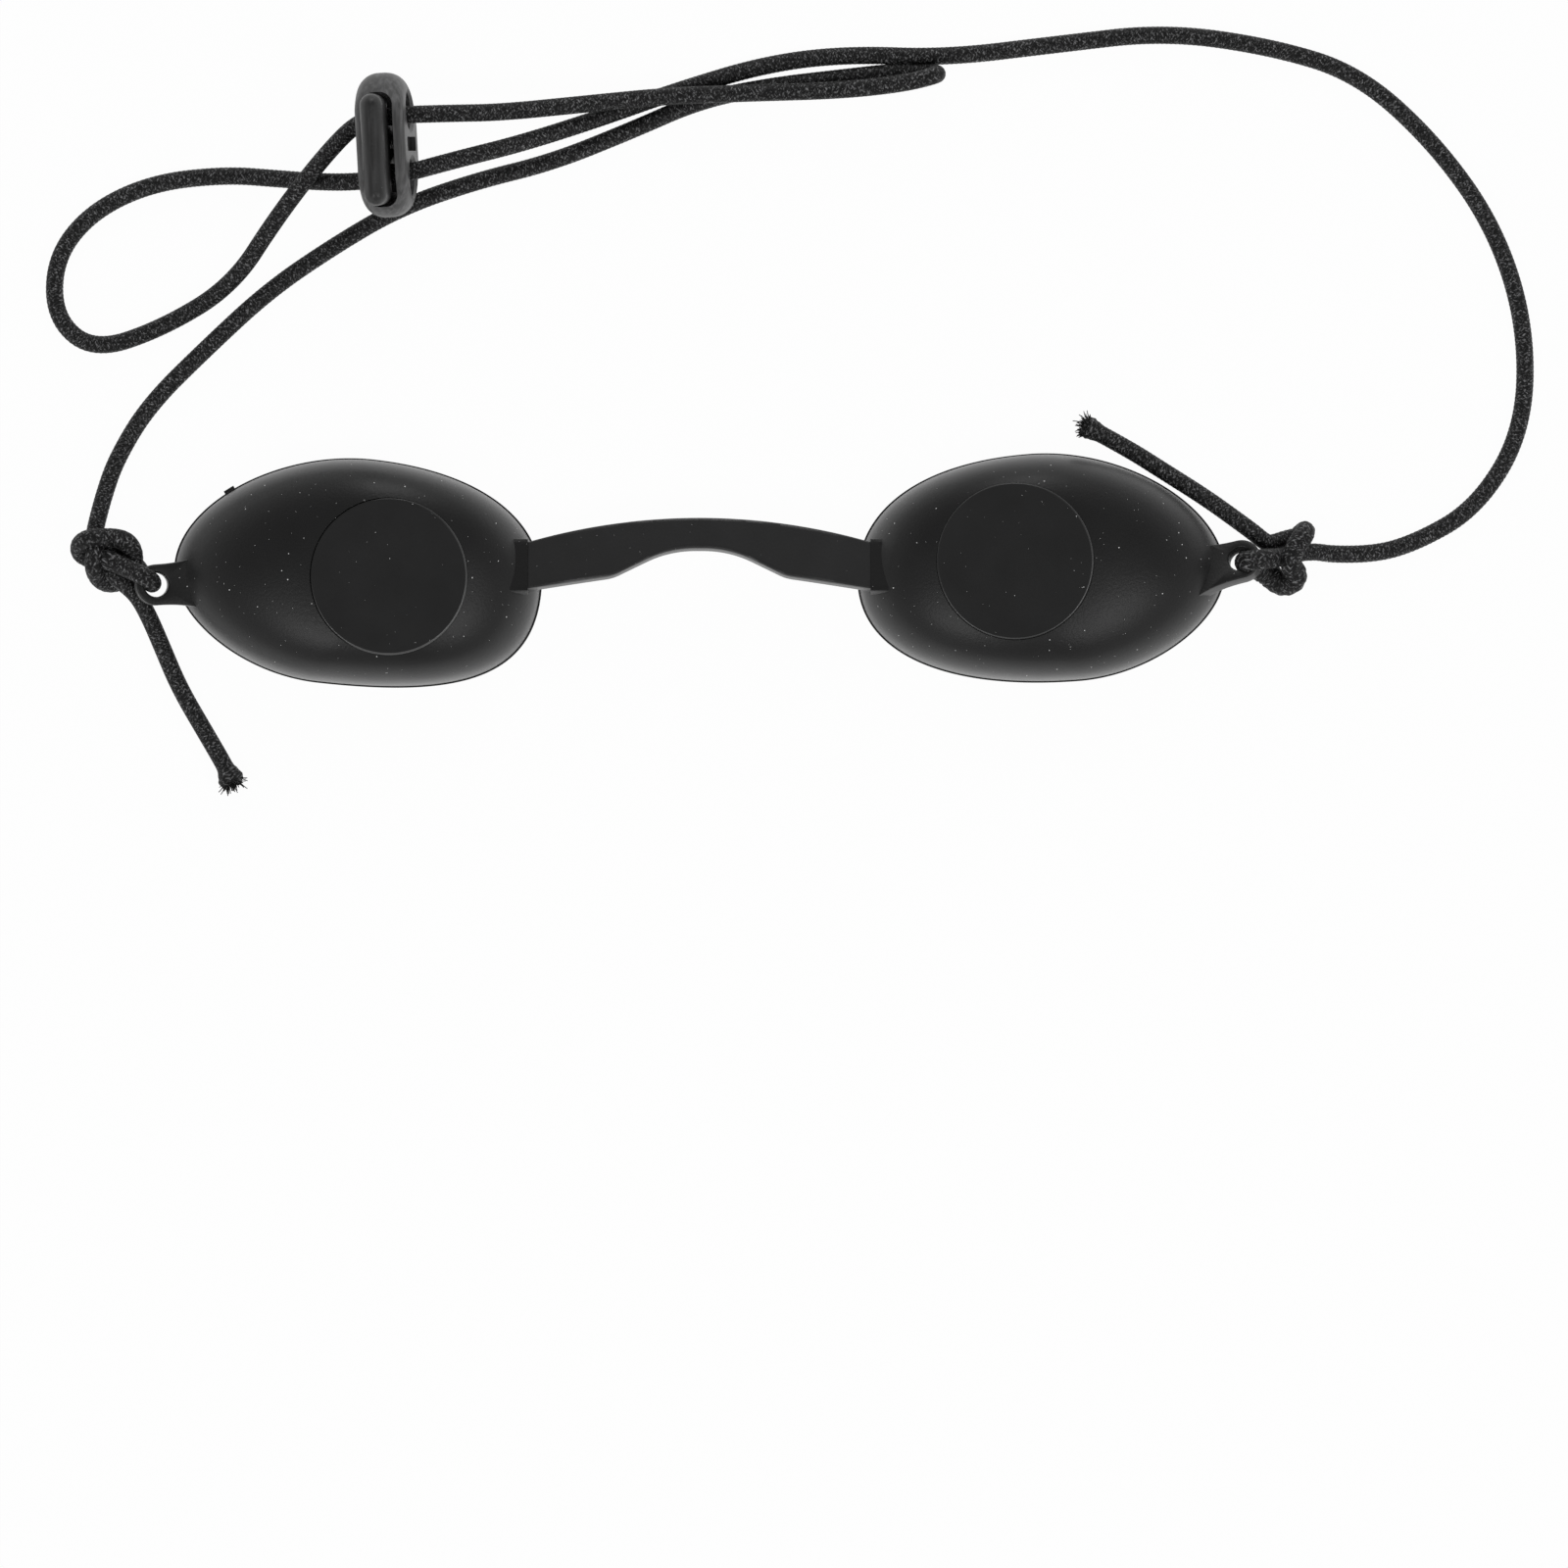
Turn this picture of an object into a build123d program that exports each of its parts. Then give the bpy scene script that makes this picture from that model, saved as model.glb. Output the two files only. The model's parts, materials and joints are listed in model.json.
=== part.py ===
from build123d import *
import math
import os

# Tanning goggles: two deep oval eye cups on a flexible nose bridge, held on by one elastic cord.
# The cord is knotted through an ear on each cup, and a spring cord lock gathers it.
# The part is in millimetres: +X to the right, +Y to the brow, +Z away from the face.
# The rims stand on Z = 0, and the origin is under the middle of the cups and the bridge.

# Eye cups, drawn with +X to the nose
cup_spacing = 91.8
cup_length = 49.5
cup_brow = 15.1
cup_cheek = 15.6
cup_depth = 12.4
cup_wall = 1.3
brow_point_share = 0.007
cheek_point_share = -0.16
outer_point_share = -0.12
nose_point_share = -0.03
outer_handle_share = 0.5
nose_handle_share = 0.62
crown_lean = 1.5
along_power = 2.2
across_power = 3.6
dome_height_shares = (0, 0.25, 0.5, 0.7, 0.85, 0.97)
rim_width = 0.4
rim_height = 0.9
left_cup_turn = 6.4
right_cup_turn = 4.4
right_cup_rise = 0.4

# Window discs and their seats
window_radius = 10.5
window_thickness = 1.8
window_tilt = 2.6
window_drop = 0.93
window_chamfer = 0.25
window_ledge = 1.2
window_ledge_depth = 1.1
seat_wall = 1.2
window_fit = 0.03
left_window_inward = 4.6
left_window_rise = -0.5
right_window_inward = 3.65
right_window_rise = 0.9

# Cord ears on the cups' outer ends
ear_width = 5.5
ear_thickness = 2.2
ear_hole_radius = 1.7
ear_root = 8.0
ear_height = 4.7
ear_climb = 12.0
ear_overhang = 2.1
left_ear_drop = 2.0
left_ear_heading = 4.0
left_ear_roll = 0.0
right_ear_drop = -1.15
right_ear_heading = -10.0
right_ear_roll = -20.0

# Gate mark on the left cup's rim
gate_length = 1.5
gate_height = 0.7
gate_share = 0.44

# Nose bridge
bridge_inset = 1.8
bridge_length = cup_spacing - cup_length + 2 * bridge_inset
bridge_end_width = 6.5
bridge_thickness = 2.2
bridge_bow = 2.3
bridge_tilt = 12.0
bridge_rise = 0.4
bridge_height = 5.9
bridge_brow_rise = 2.75
bridge_arch_rise = 5.05
bridge_knee_rise = 1.4
bridge_knee_span = 23.0
bridge_arch_span = 8.0
bridge_knee_radius = 6.0
bridge_arch_share = 0.43
bridge_edge = 0.35
tongue_length = 2.2
tongue_width = 4.0
tongue_thickness = 1.0
tongue_fit = 0.05
boss_depth = 3.4
boss_step = 0.12
bridge_clearance = 0.05

# Cord
cord_diameter = 2.3
knot_cord_diameter = 1.75
cord_gap = 0.3
arc_share = 0.45

# Knots, each a trefoil laid round a ring beside its ear
knot_ring_radius = 2.5
knot_coil_radius = 1.15
knot_height = 4.8
knot_offset = 3.8
left_knot_rise = 3.7
right_knot_rise = -0.05
knot_loop_reach = 2.7
knot_loop_drop = 3.3
knot_loop_rise = 3.2
left_entry_aside = -1.7
left_entry_rise = 5.2
left_entry_heading = -99.0
right_entry_aside = -5.2
right_entry_rise = 1.2
right_entry_heading = 4.0
knot_start_share = 5 / 12
knot_turn_share = 5 / 6
knot_lobe_share = 1 / 6
knot_steps = 16
sample_share = 1 / 8
knot_apart_share = 2.2

# Cord lock
lock_x = -41.2
lock_y = 57.3
lock_lean = 5.0
lock_tip = 4.0
lock_turn = 3.0
lock_width = 19.3
lock_height = 14.0
lock_thickness = 6.6
lock_foot_radius = 7.0
lock_shoulder_radius = 5.4
lock_side_radius = 2.9
lock_floor = 1.6
lock_hole_radius = 2.6
lock_hole_spacing = 8.9
lock_hole_height = 6.6
lock_port = 1.9
button_width = 14.9
button_thickness = 3.9
button_proud = 4.2
button_travel = 3.0
button_fit = 0.2
button_crown = 1.7
button_foot = 1.25
button_slot_width = 3.8
spring_radius = 1.08
spring_wire = 0.35
spring_turns = 6
turn_steps = 2
spring_pocket_radius = 1.5
spring_pocket_depth = 6.4

# One overrun serves every cut
overrun = 2.0


def cup_curves(height_share, inset):
    # The cup's outline at a share of the dome's height: four curves between its end points
    along = (1 - height_share ** along_power) ** (1 / along_power)
    across = (1 - height_share ** across_power) ** (1 / across_power)
    lean = crown_lean * height_share ** 2
    half = (cup_length / 2 - inset) * along
    brow = (cup_brow - inset) * across
    cheek = (cup_cheek - inset) * across
    nose = Vector(half + lean, nose_point_share * cup_brow * across)
    outer = Vector(lean - half, outer_point_share * cup_brow * across)
    top = Vector(lean + brow_point_share * cup_length * along, brow)
    low = Vector(lean + cheek_point_share * cup_length / 2 * along, -cheek)
    return [
        cup_quarter(outer, top, outer_handle_share),
        cup_quarter(nose, top, nose_handle_share),
        cup_quarter(nose, low, nose_handle_share),
        cup_quarter(outer, low, outer_handle_share),
    ]


def cup_quarter(end, side, handle):
    # A quarter of the outline, square to the cup's length at its end and along it at its side
    end_handle = Vector(end.X, end.Y + handle * (side.Y - end.Y))
    side_handle = Vector(side.X + handle * (end.X - side.X), side.Y)
    return Bezier(end, end_handle, side_handle, side)


def cup_section(height_share, inset, depth):
    return Pos(0, 0, height_share * depth) * make_face(cup_curves(height_share, inset))


def dome(inset, depth):
    sections = [cup_section(share, inset, depth) for share in dome_height_shares]
    return loft([section.face() for section in sections])


def sides():
    # Every value that differs between the two cups; both are drawn on the left and one is mirrored
    left = {
        "name": "left", "turn": left_cup_turn, "rise": 0, "ear_drop": left_ear_drop,
        "ear_heading": left_ear_heading, "ear_roll": left_ear_roll,
        "window": (left_window_inward, left_window_rise), "gate": True,
        "knot_rise": left_knot_rise, "knot_turns": 1,
        "entry": (left_entry_aside, left_entry_rise, left_entry_heading),
    }
    right = {
        "name": "right", "turn": right_cup_turn, "rise": right_cup_rise, "ear_drop": right_ear_drop,
        "ear_heading": right_ear_heading, "ear_roll": right_ear_roll,
        "window": (right_window_inward, right_window_rise), "gate": False,
        "knot_rise": right_knot_rise, "knot_turns": -1,
        "entry": (right_entry_aside, right_entry_rise, right_entry_heading),
    }
    return left, right


def on_side(side, solid):
    if side["name"] == "left":
        return solid
    return mirror(solid, about=Plane.YZ)


def cup_place(side):
    return Location((-cup_spacing / 2, side["rise"], 0), (0, 0, -side["turn"]))


def window_plane(side):
    # The window's outer face, which falls a little towards the nose
    inward, rise = side["window"]
    lean = math.radians(window_tilt)
    plane = Plane(
        origin=(inward, rise, cup_depth - window_drop),
        x_dir=(math.cos(lean), 0, -math.sin(lean)),
        z_dir=(math.sin(lean), 0, math.cos(lean)),
    )
    return cup_place(side) * plane.location


def ear_hole_centre(side):
    return Vector(-cup_spacing / 2 - cup_length / 2 - ear_overhang, -side["ear_drop"], ear_height)


def ear_place(side):
    # At the hole, with +X back towards the cup and a little downhill
    return Location(ear_hole_centre(side), (side["ear_roll"], ear_climb, side["ear_heading"]))


def down(radius, length):
    return Cylinder(radius, length, align=(Align.CENTER, Align.CENTER, Align.MAX))


def up(radius, length):
    return Cylinder(radius, length, align=(Align.CENTER, Align.CENTER, Align.MIN))


def ear(side):
    plate = Circle(ear_width / 2) + Pos(ear_root / 2, 0) * Rectangle(ear_root, ear_width)
    return ear_place(side) * extrude(plate, amount=ear_thickness / 2, both=True)


def boss(side):
    # The socket in the cup's nose end that holds the bridge's tongue
    block = Box(
        boss_depth, bridge_end_width + 2 * boss_step, bridge_thickness + 2 * boss_step,
        align=(Align.MAX, Align.CENTER, Align.CENTER),
    )
    return bridge_place() * (Pos(-bridge_length / 2, 0, 0) * block)


def tongue(length, gap):
    # A bridge end's tongue on the left, or with a gap round it the slot that takes it
    block = Box(
        length, tongue_width + 2 * gap, tongue_thickness + 2 * gap,
        align=(Align.MAX, Align.CENTER, Align.CENTER),
    )
    return bridge_place() * (Pos(-bridge_length / 2, 0, 0) * block)


def bridge_end_room():
    # The notch in the cup's nose end that the bridge's end lies in
    block = Box(
        bridge_length / 2, bridge_end_width + 2 * bridge_clearance,
        bridge_thickness + 2 * bridge_clearance, align=(Align.MIN, Align.CENTER, Align.CENTER),
    )
    return bridge_place() * (Pos(-bridge_length / 2, 0, 0) * block)


def gate_mark():
    # The nib left where the moulding's gate was cut off, on the rim's brow side
    curve = cup_curves(0, 0)[0]
    along = curve % gate_share
    slope = math.degrees(math.atan2(along.Y, along.X))
    nib = Box(gate_length, gate_height, gate_height, align=(Align.CENTER, Align.CENTER, Align.MIN))
    return Location(curve @ gate_share, (0, 0, slope)) * nib


def eye_cup(side):
    place = cup_place(side)
    crown = dome(rim_width, cup_depth)
    outside = place * crown
    rim = place * extrude(cup_section(0, 0, cup_depth), amount=rim_height)
    mouth = place * extrude(cup_section(0, rim_width + cup_wall, cup_depth), amount=-overrun)
    hollow = place * dome(rim_width + cup_wall, cup_depth - cup_wall)
    body = outside + rim + ear(side)
    if side["gate"]:
        body += place * gate_mark()
    body = body - hollow - mouth
    window = window_plane(side)
    seat = window * Pos(0, 0, overrun) * down(
        window_radius + seat_wall, overrun + window_thickness + window_ledge_depth
    )
    body += seat & outside
    body += boss(side)
    pocket = window * Pos(0, 0, -window_thickness) * up(window_radius + window_fit, cup_depth)
    light = window * down(window_radius - window_ledge, cup_depth)
    hole = ear_place(side) * Cylinder(ear_hole_radius, ear_thickness + 2 * overrun)
    body = body - pocket - light - hole
    body = body - tongue(tongue_length + tongue_fit, tongue_fit) - bridge_end_room()
    return on_side(side, body)


def window(side):
    disc = down(window_radius, window_thickness)
    disc = chamfer(disc.edges().group_by(Axis.Z)[-1], window_chamfer)
    return on_side(side, window_plane(side) * disc)


def bridge_place():
    return Location((0, bridge_rise, bridge_height), (-bridge_tilt, 0, 0))


def nose_bridge():
    half = bridge_length / 2
    edge = bridge_end_width / 2
    brow = ThreePointArc((-half, edge), (0, edge + bridge_brow_rise), (half, edge))
    knee = (bridge_knee_span / 2, bridge_knee_rise - edge)
    crown = (bridge_arch_span / 2, bridge_arch_rise - edge)
    far_crown = (-bridge_arch_span / 2, bridge_arch_rise - edge)
    far_knee = (-bridge_knee_span / 2, bridge_knee_rise - edge)
    crown_radius = corner_radius(knee, crown, far_crown, bridge_arch_share)
    nose = FilletPolyline(
        (half, -edge), knee, crown, far_crown, far_knee, (-half, -edge),
        radius=[bridge_knee_radius, crown_radius, crown_radius, bridge_knee_radius],
    )
    ends = [Line((half, edge), (half, -edge)), Line((-half, -edge), (-half, edge))]
    plan = make_face([brow, *nose.edges(), *ends])
    skin = bridge_thickness / 2
    outer = ThreePointArc((-half, skin), (0, bridge_bow + skin), (half, skin))
    inner = ThreePointArc((-half, -skin), (0, bridge_bow - skin), (half, -skin))
    caps = [Line((half, skin), (half, -skin)), Line((-half, -skin), (-half, skin))]
    bow = Plane.XZ * make_face([outer, inner, *caps])
    strap = extrude(plan, amount=2 * bridge_bow + bridge_thickness, both=True)
    strap = strap & extrude(bow, amount=bridge_end_width + bridge_arch_rise, both=True)
    long_edges = [e for e in strap.edges() if abs(e.center().X) < half - bridge_edge]
    strap = bridge_place() * fillet(long_edges, bridge_edge)
    left = tongue(tongue_length, 0) + strap
    return left + mirror(tongue(tongue_length, 0), about=Plane.YZ)


def lock_place():
    # The lock stands on its foot, leaning a little to the left and towards the cups
    return Location((lock_x, lock_y, lock_foot_lift()), (lock_tip, -lock_lean, lock_turn))


def lock_foot_lift():
    # How far the leaning foot's lowest edge would go below the ground
    lean = math.radians(lock_lean)
    tip = math.radians(lock_tip)
    flat = lock_width / 2 - lock_foot_radius
    roll = lock_foot_radius * (1 - math.cos(tip)) + flat * math.sin(tip)
    return lock_thickness / 2 * math.sin(lean) + roll


def lock_body():
    half = lock_width / 2
    face = Polyline((-half, 0), (half, 0), (half, lock_height), (-half, lock_height), close=True)
    front = make_face(face)
    feet = front.vertices().group_by(Axis.Y)[0]
    front = fillet(feet, lock_foot_radius)
    shoulders = front.vertices().group_by(Axis.Y)[-1]
    front = fillet(shoulders, lock_shoulder_radius)
    block = extrude(Plane.YZ * front, amount=lock_thickness / 2, both=True)
    plan = RectangleRounded(lock_thickness, lock_width, lock_side_radius)
    block = block & extrude(plan, amount=lock_height)
    pocket = Pos(0, 0, lock_floor) * blade(lock_height, button_fit)
    block -= pocket
    for y in (-lock_hole_spacing / 2, lock_hole_spacing / 2):
        block -= Pos(0, y, lock_hole_height) * Rot(0, 90, 0) * Cylinder(
            lock_hole_radius, lock_thickness + 2 * overrun
        )
    block -= Pos(0, 0, lock_hole_height) * Box(lock_thickness + 2 * overrun, lock_port, lock_port)
    return lock_place() * block


def blade(height, gap):
    # The button's flat blade with rounded ends, or with a gap round it the pocket that it slides in
    width = button_width + 2 * gap
    thickness = button_thickness + 2 * gap
    plan = RectangleRounded(thickness, width, button_crown)
    return extrude(plan, amount=height)


def cord_height():
    # The spring holds the cord up against the top of the lock's hole
    return lock_hole_height + lock_hole_radius - cord_diameter / 2 - cord_gap


def button_base():
    return lock_floor + button_travel + cord_gap


def lock_button():
    base = button_base()
    top = lock_height + button_proud
    button = Pos(0, 0, base) * blade(top - base, 0)
    crown = button.edges().group_by(Axis.Z)[-1]
    button = fillet(crown, button_crown)
    low = cord_height() - cord_diameter / 2 - cord_gap
    high = cord_height() + cord_diameter / 2 + cord_gap + button_travel
    for y in (-lock_hole_spacing / 2, lock_hole_spacing / 2):
        slot = Box(button_thickness + 2 * overrun, button_slot_width, high - low)
        button -= Pos(0, y, (low + high) / 2) * slot
    button -= Pos(0, 0, base) * Cylinder(
        spring_pocket_radius, 2 * spring_pocket_depth
    )
    return lock_place() * button


def biarcs(places, headings):
    # Two arcs from each place to the next, square to neither kink nor seam
    arcs = []
    for start, stop, leave, arrive in zip(places, places[1:], headings, headings[1:]):
        leave = leave.normalized()
        arrive = arrive.normalized()
        chord = stop - start
        along = chord.dot(leave + arrive)
        bend = 2 * (1 - leave.dot(arrive))
        reach = (math.sqrt(along ** 2 + bend * chord.dot(chord)) - along) / bend
        first = start + leave * reach
        second = stop - arrive * reach
        middle = (first + second) / 2
        arcs.append(TangentArc(start, middle, tangent=leave))
        arcs.append(TangentArc(middle, stop, tangent=second - first))
    return Wire(arcs)


def tube(path, diameter):
    start = Plane(origin=path @ 0, z_dir=path % 0)
    return sweep(start * Circle(diameter / 2), path=path)


def lock_spring():
    rise = button_base() + spring_pocket_depth - lock_floor - spring_wire
    steps = spring_turns * turn_steps
    places = []
    headings = []
    for step in range(steps + 1):
        turn = 2 * math.pi * step / turn_steps
        climb = rise * step / steps
        places.append(Vector(
            spring_radius * math.cos(turn), spring_radius * math.sin(turn),
            lock_floor + spring_wire / 2 + climb,
        ))
        headings.append(Vector(
            -spring_radius * math.sin(turn), spring_radius * math.cos(turn),
            rise / (2 * math.pi * spring_turns),
        ))
    path = biarcs(places, headings)
    print("spring least gap", round(least_gap(path, spring_wire, math.pi * spring_radius), 2))
    return lock_place() * tube(path, spring_wire)


def knot_centre(side):
    hole = ear_hole_centre(side)
    return Vector(hole.X - ear_width / 2 - knot_offset, hole.Y + side["knot_rise"], knot_height)


def knot_entry(side):
    # The cord comes in along the ground, under the knot, and up through the ear's hole
    aside, rise, heading = side["entry"]
    centre = knot_centre(side)
    hole = ear_place(side)
    normal = (hole * Location((0, 0, 1))).position - hole.position
    out = (Vector(centre.X, centre.Y) - Vector(hole.position.X, hole.position.Y)).normalized()
    turn = math.radians(heading)
    places = [
        Vector(centre.X + aside, centre.Y + rise, cord_diameter / 2),
        hole.position + out * knot_loop_reach - Vector(0, 0, knot_loop_drop),
        hole.position,
        hole.position + out * knot_loop_reach + normal * knot_loop_rise,
    ]
    return places, [Vector(math.cos(turn), math.sin(turn)), out * -1, normal, out]


def knot_ring(side):
    # The overhand knot itself: most of a trefoil, with a crossing turned to the ear
    centre = knot_centre(side)
    hole = ear_hole_centre(side)
    aim = math.atan2(hole.Y - centre.Y, hole.X - centre.X)
    places = []
    headings = []
    for step in range(knot_steps + 1):
        t = 2 * math.pi * (knot_start_share + knot_turn_share * step / knot_steps)
        around = aim + side["knot_turns"] * 2 * (t + math.pi * knot_lobe_share)
        reach = knot_ring_radius + knot_coil_radius * math.cos(3 * t)
        pull = -3 * knot_coil_radius * math.sin(3 * t)
        onward = side["knot_turns"] * 2 * reach
        outward = Vector(math.cos(around), math.sin(around))
        sideways = Vector(-math.sin(around), math.cos(around))
        lift = Vector(0, 0, knot_coil_radius)
        places.append(centre + outward * reach + lift * math.sin(3 * t))
        headings.append(outward * pull + sideways * onward + lift * 3 * math.cos(3 * t))
    return places, headings


def least_gap(path, diameter, apart):
    # The least space between stretches of a tube that lie further apart along it than a given length
    count = round(path.length / (diameter * sample_share))
    points = [path @ (step / count) for step in range(count + 1)]
    skip = round(apart * count / path.length)
    gaps = [
        (one - other).length for at, one in enumerate(points) for other in points[at + skip:]
    ]
    return min(gaps) - diameter


def knot(side):
    entry_places, entry_headings = knot_entry(side)
    ring_places, ring_headings = knot_ring(side)
    path = biarcs(entry_places + ring_places, entry_headings + ring_headings)
    apart = knot_apart_share * knot_cord_diameter
    print(side["name"], "knot length", round(path.length, 1),
          "least gap", round(least_gap(path, knot_cord_diameter, apart), 2))
    for share in (0, 1):
        print("end", [round(value, 2) for value in path @ share],
              "heading", [round(value, 2) for value in path % share])
    return on_side(side, tube(path, knot_cord_diameter))


def corner_radius(before, corner, after, share):
    # The arc at a corner that takes a share of the shorter of its two runs
    arrive = Vector(*corner) - Vector(*before)
    leave = Vector(*after) - Vector(*corner)
    half_turn = math.radians(arrive.get_angle(leave)) / 2
    return share * min(arrive.length, leave.length) / math.tan(half_turn)


def corner_radii(points):
    corners = zip(points, points[1:], points[2:])
    return [corner_radius(*corner, arc_share) for corner in corners]


def cord_tube(name, points):
    # Straight runs joined by arcs as large as the runs allow
    radii = corner_radii(points)
    path = FilletPolyline(*points, radius=radii)
    cord = tube(path, cord_diameter)
    section = math.pi * (cord_diameter / 2) ** 2
    print(name, "length", round(path.length, 1), "tightest", round(min(radii), 1),
          "radii", [round(radius) for radius in radii],
          "volume share", round(cord.volume / (section * path.length), 4))
    return cord


# The cord's routes, as it lies: points chosen by hand, from knot to lock and from lock to knot
left_tail_route = [
    (-81.47, 0.45, 3.65), (-81.45, -1.5, 3.65), (-79.3, -2.35, 3.2), (-76.3, -2.9, 2.2),
    (-74.6, -5.8, 1.3),
    (-72.6, -10.2, 1.15), (-70.0, -15.8, 1.15), (-66.5, -21.8, 1.15), (-63.4, -27.0, 1.15),
    (-62.5, -29.0, 1.15),
]
left_run_route = [
    (-81.0, 6.9, 1.15), (-80.3, 10.2, 1.15), (-78.4, 15.3, 1.15), (-74.1, 22.3, 1.15),
    (-66.3, 30.0, 1.15), (-58.1, 37.7, 1.15), (-49.5, 43.5, 1.15), (-40.5, 48.7, 1.15),
    (-30.2, 52.4, 1.15), (-20.0, 54.9, 1.15), (-9.5, 59.1, 1.15), (0.0, 63.3, 1.15),
    (9.5, 65.2, 1.15), (19.0, 66.3, 1.15), (27.0, 67.1, 1.15), (32.8, 67.1, 1.2),
    (32.9, 66.2, 6.0), (27.5, 65.3, 5.2), (19.0, 64.5, 4.1), (8.0, 64.1, 3.8),
    (-4.0, 63.7, 3.9), (-15.5, 62.5, 4.7), (-26.5, 61.3, 7.2), (-33.5, 61.0, 8.9),
    (-37.6, 60.85, 8.65),
]
loop_route = [
    (-37.6, 60.85, 8.65), (-41.3, 60.8, 8.42), (-45.8, 60.4, 8.1), (-50.5, 55.7, 7.3),
    (-56.7, 47.4, 5.0), (-62.8, 38.3, 1.9), (-72.3, 32.5, 1.15), (-81.5, 29.4, 1.15),
    (-86.9, 33.9, 1.15), (-86.9, 42.0, 1.15), (-82.1, 48.2, 1.15), (-74.0, 52.1, 1.15),
    (-64.0, 53.4, 1.15), (-56.0, 52.5, 2.3), (-50.4, 51.7, 5.2), (-45.6, 51.8, 7.3),
    (-41.5, 52.5, 7.8), (-37.3, 53.45, 8.15),
]
right_run_route = [
    (-37.3, 53.45, 8.15), (-32.5, 54.8, 8.5), (-24.0, 57.3, 6.0), (-14.0, 60.6, 2.1),
    (-3.0, 64.6, 1.15), (9.0, 68.3, 1.15), (20.0, 69.8, 1.15), (33.0, 69.4, 1.15),
    (48.0, 70.8, 1.15), (62.5, 72.6, 1.15), (76.9, 70.6, 1.15), (88.6, 67.0, 1.15),
    (98.9, 57.7, 1.15), (107.0, 46.3, 1.15), (111.3, 33.0, 1.15), (111.0, 18.8, 1.15),
    (104.6, 8.3, 1.15), (95.8, 3.2, 1.15), (89.6, 2.0, 1.15), (84.55, 2.3, 1.15),
]
right_tail_route = [
    (80.6, 3.25, 3.65), (79.95, 4.75, 3.65), (77.7, 5.3, 3.1), (74.8, 5.0, 2.3),
    (72.2, 6.8, 1.5), (68.1, 9.8, 1.15),
    (62.7, 13.2, 1.15), (57.2, 16.7, 1.15), (52.2, 19.3, 1.15),
]


def main():
    left, right = sides()
    nodes = {
        "left_eye_cup": eye_cup(left),
        "right_eye_cup": eye_cup(right),
        "left_window": window(left),
        "right_window": window(right),
        "nose_bridge": nose_bridge(),
        "lock_body": lock_body(),
        "lock_button": lock_button(),
        "lock_spring": lock_spring(),
        "left_knot": knot(left),
        "right_knot": knot(right),
        "cord_left_tail": cord_tube("cord_left_tail", left_tail_route),
        "cord_left_run": cord_tube("cord_left_run", left_run_route),
        "cord_loop": cord_tube("cord_loop", loop_route),
        "cord_right_run": cord_tube("cord_right_run", right_run_route),
        "cord_right_tail": cord_tube("cord_right_tail", right_tail_route),
    }
    os.makedirs("parts", exist_ok=True)
    for name, solid in nodes.items():
        export_step(solid, f"parts/{name}.step")


main()
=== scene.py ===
import json
import math

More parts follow.
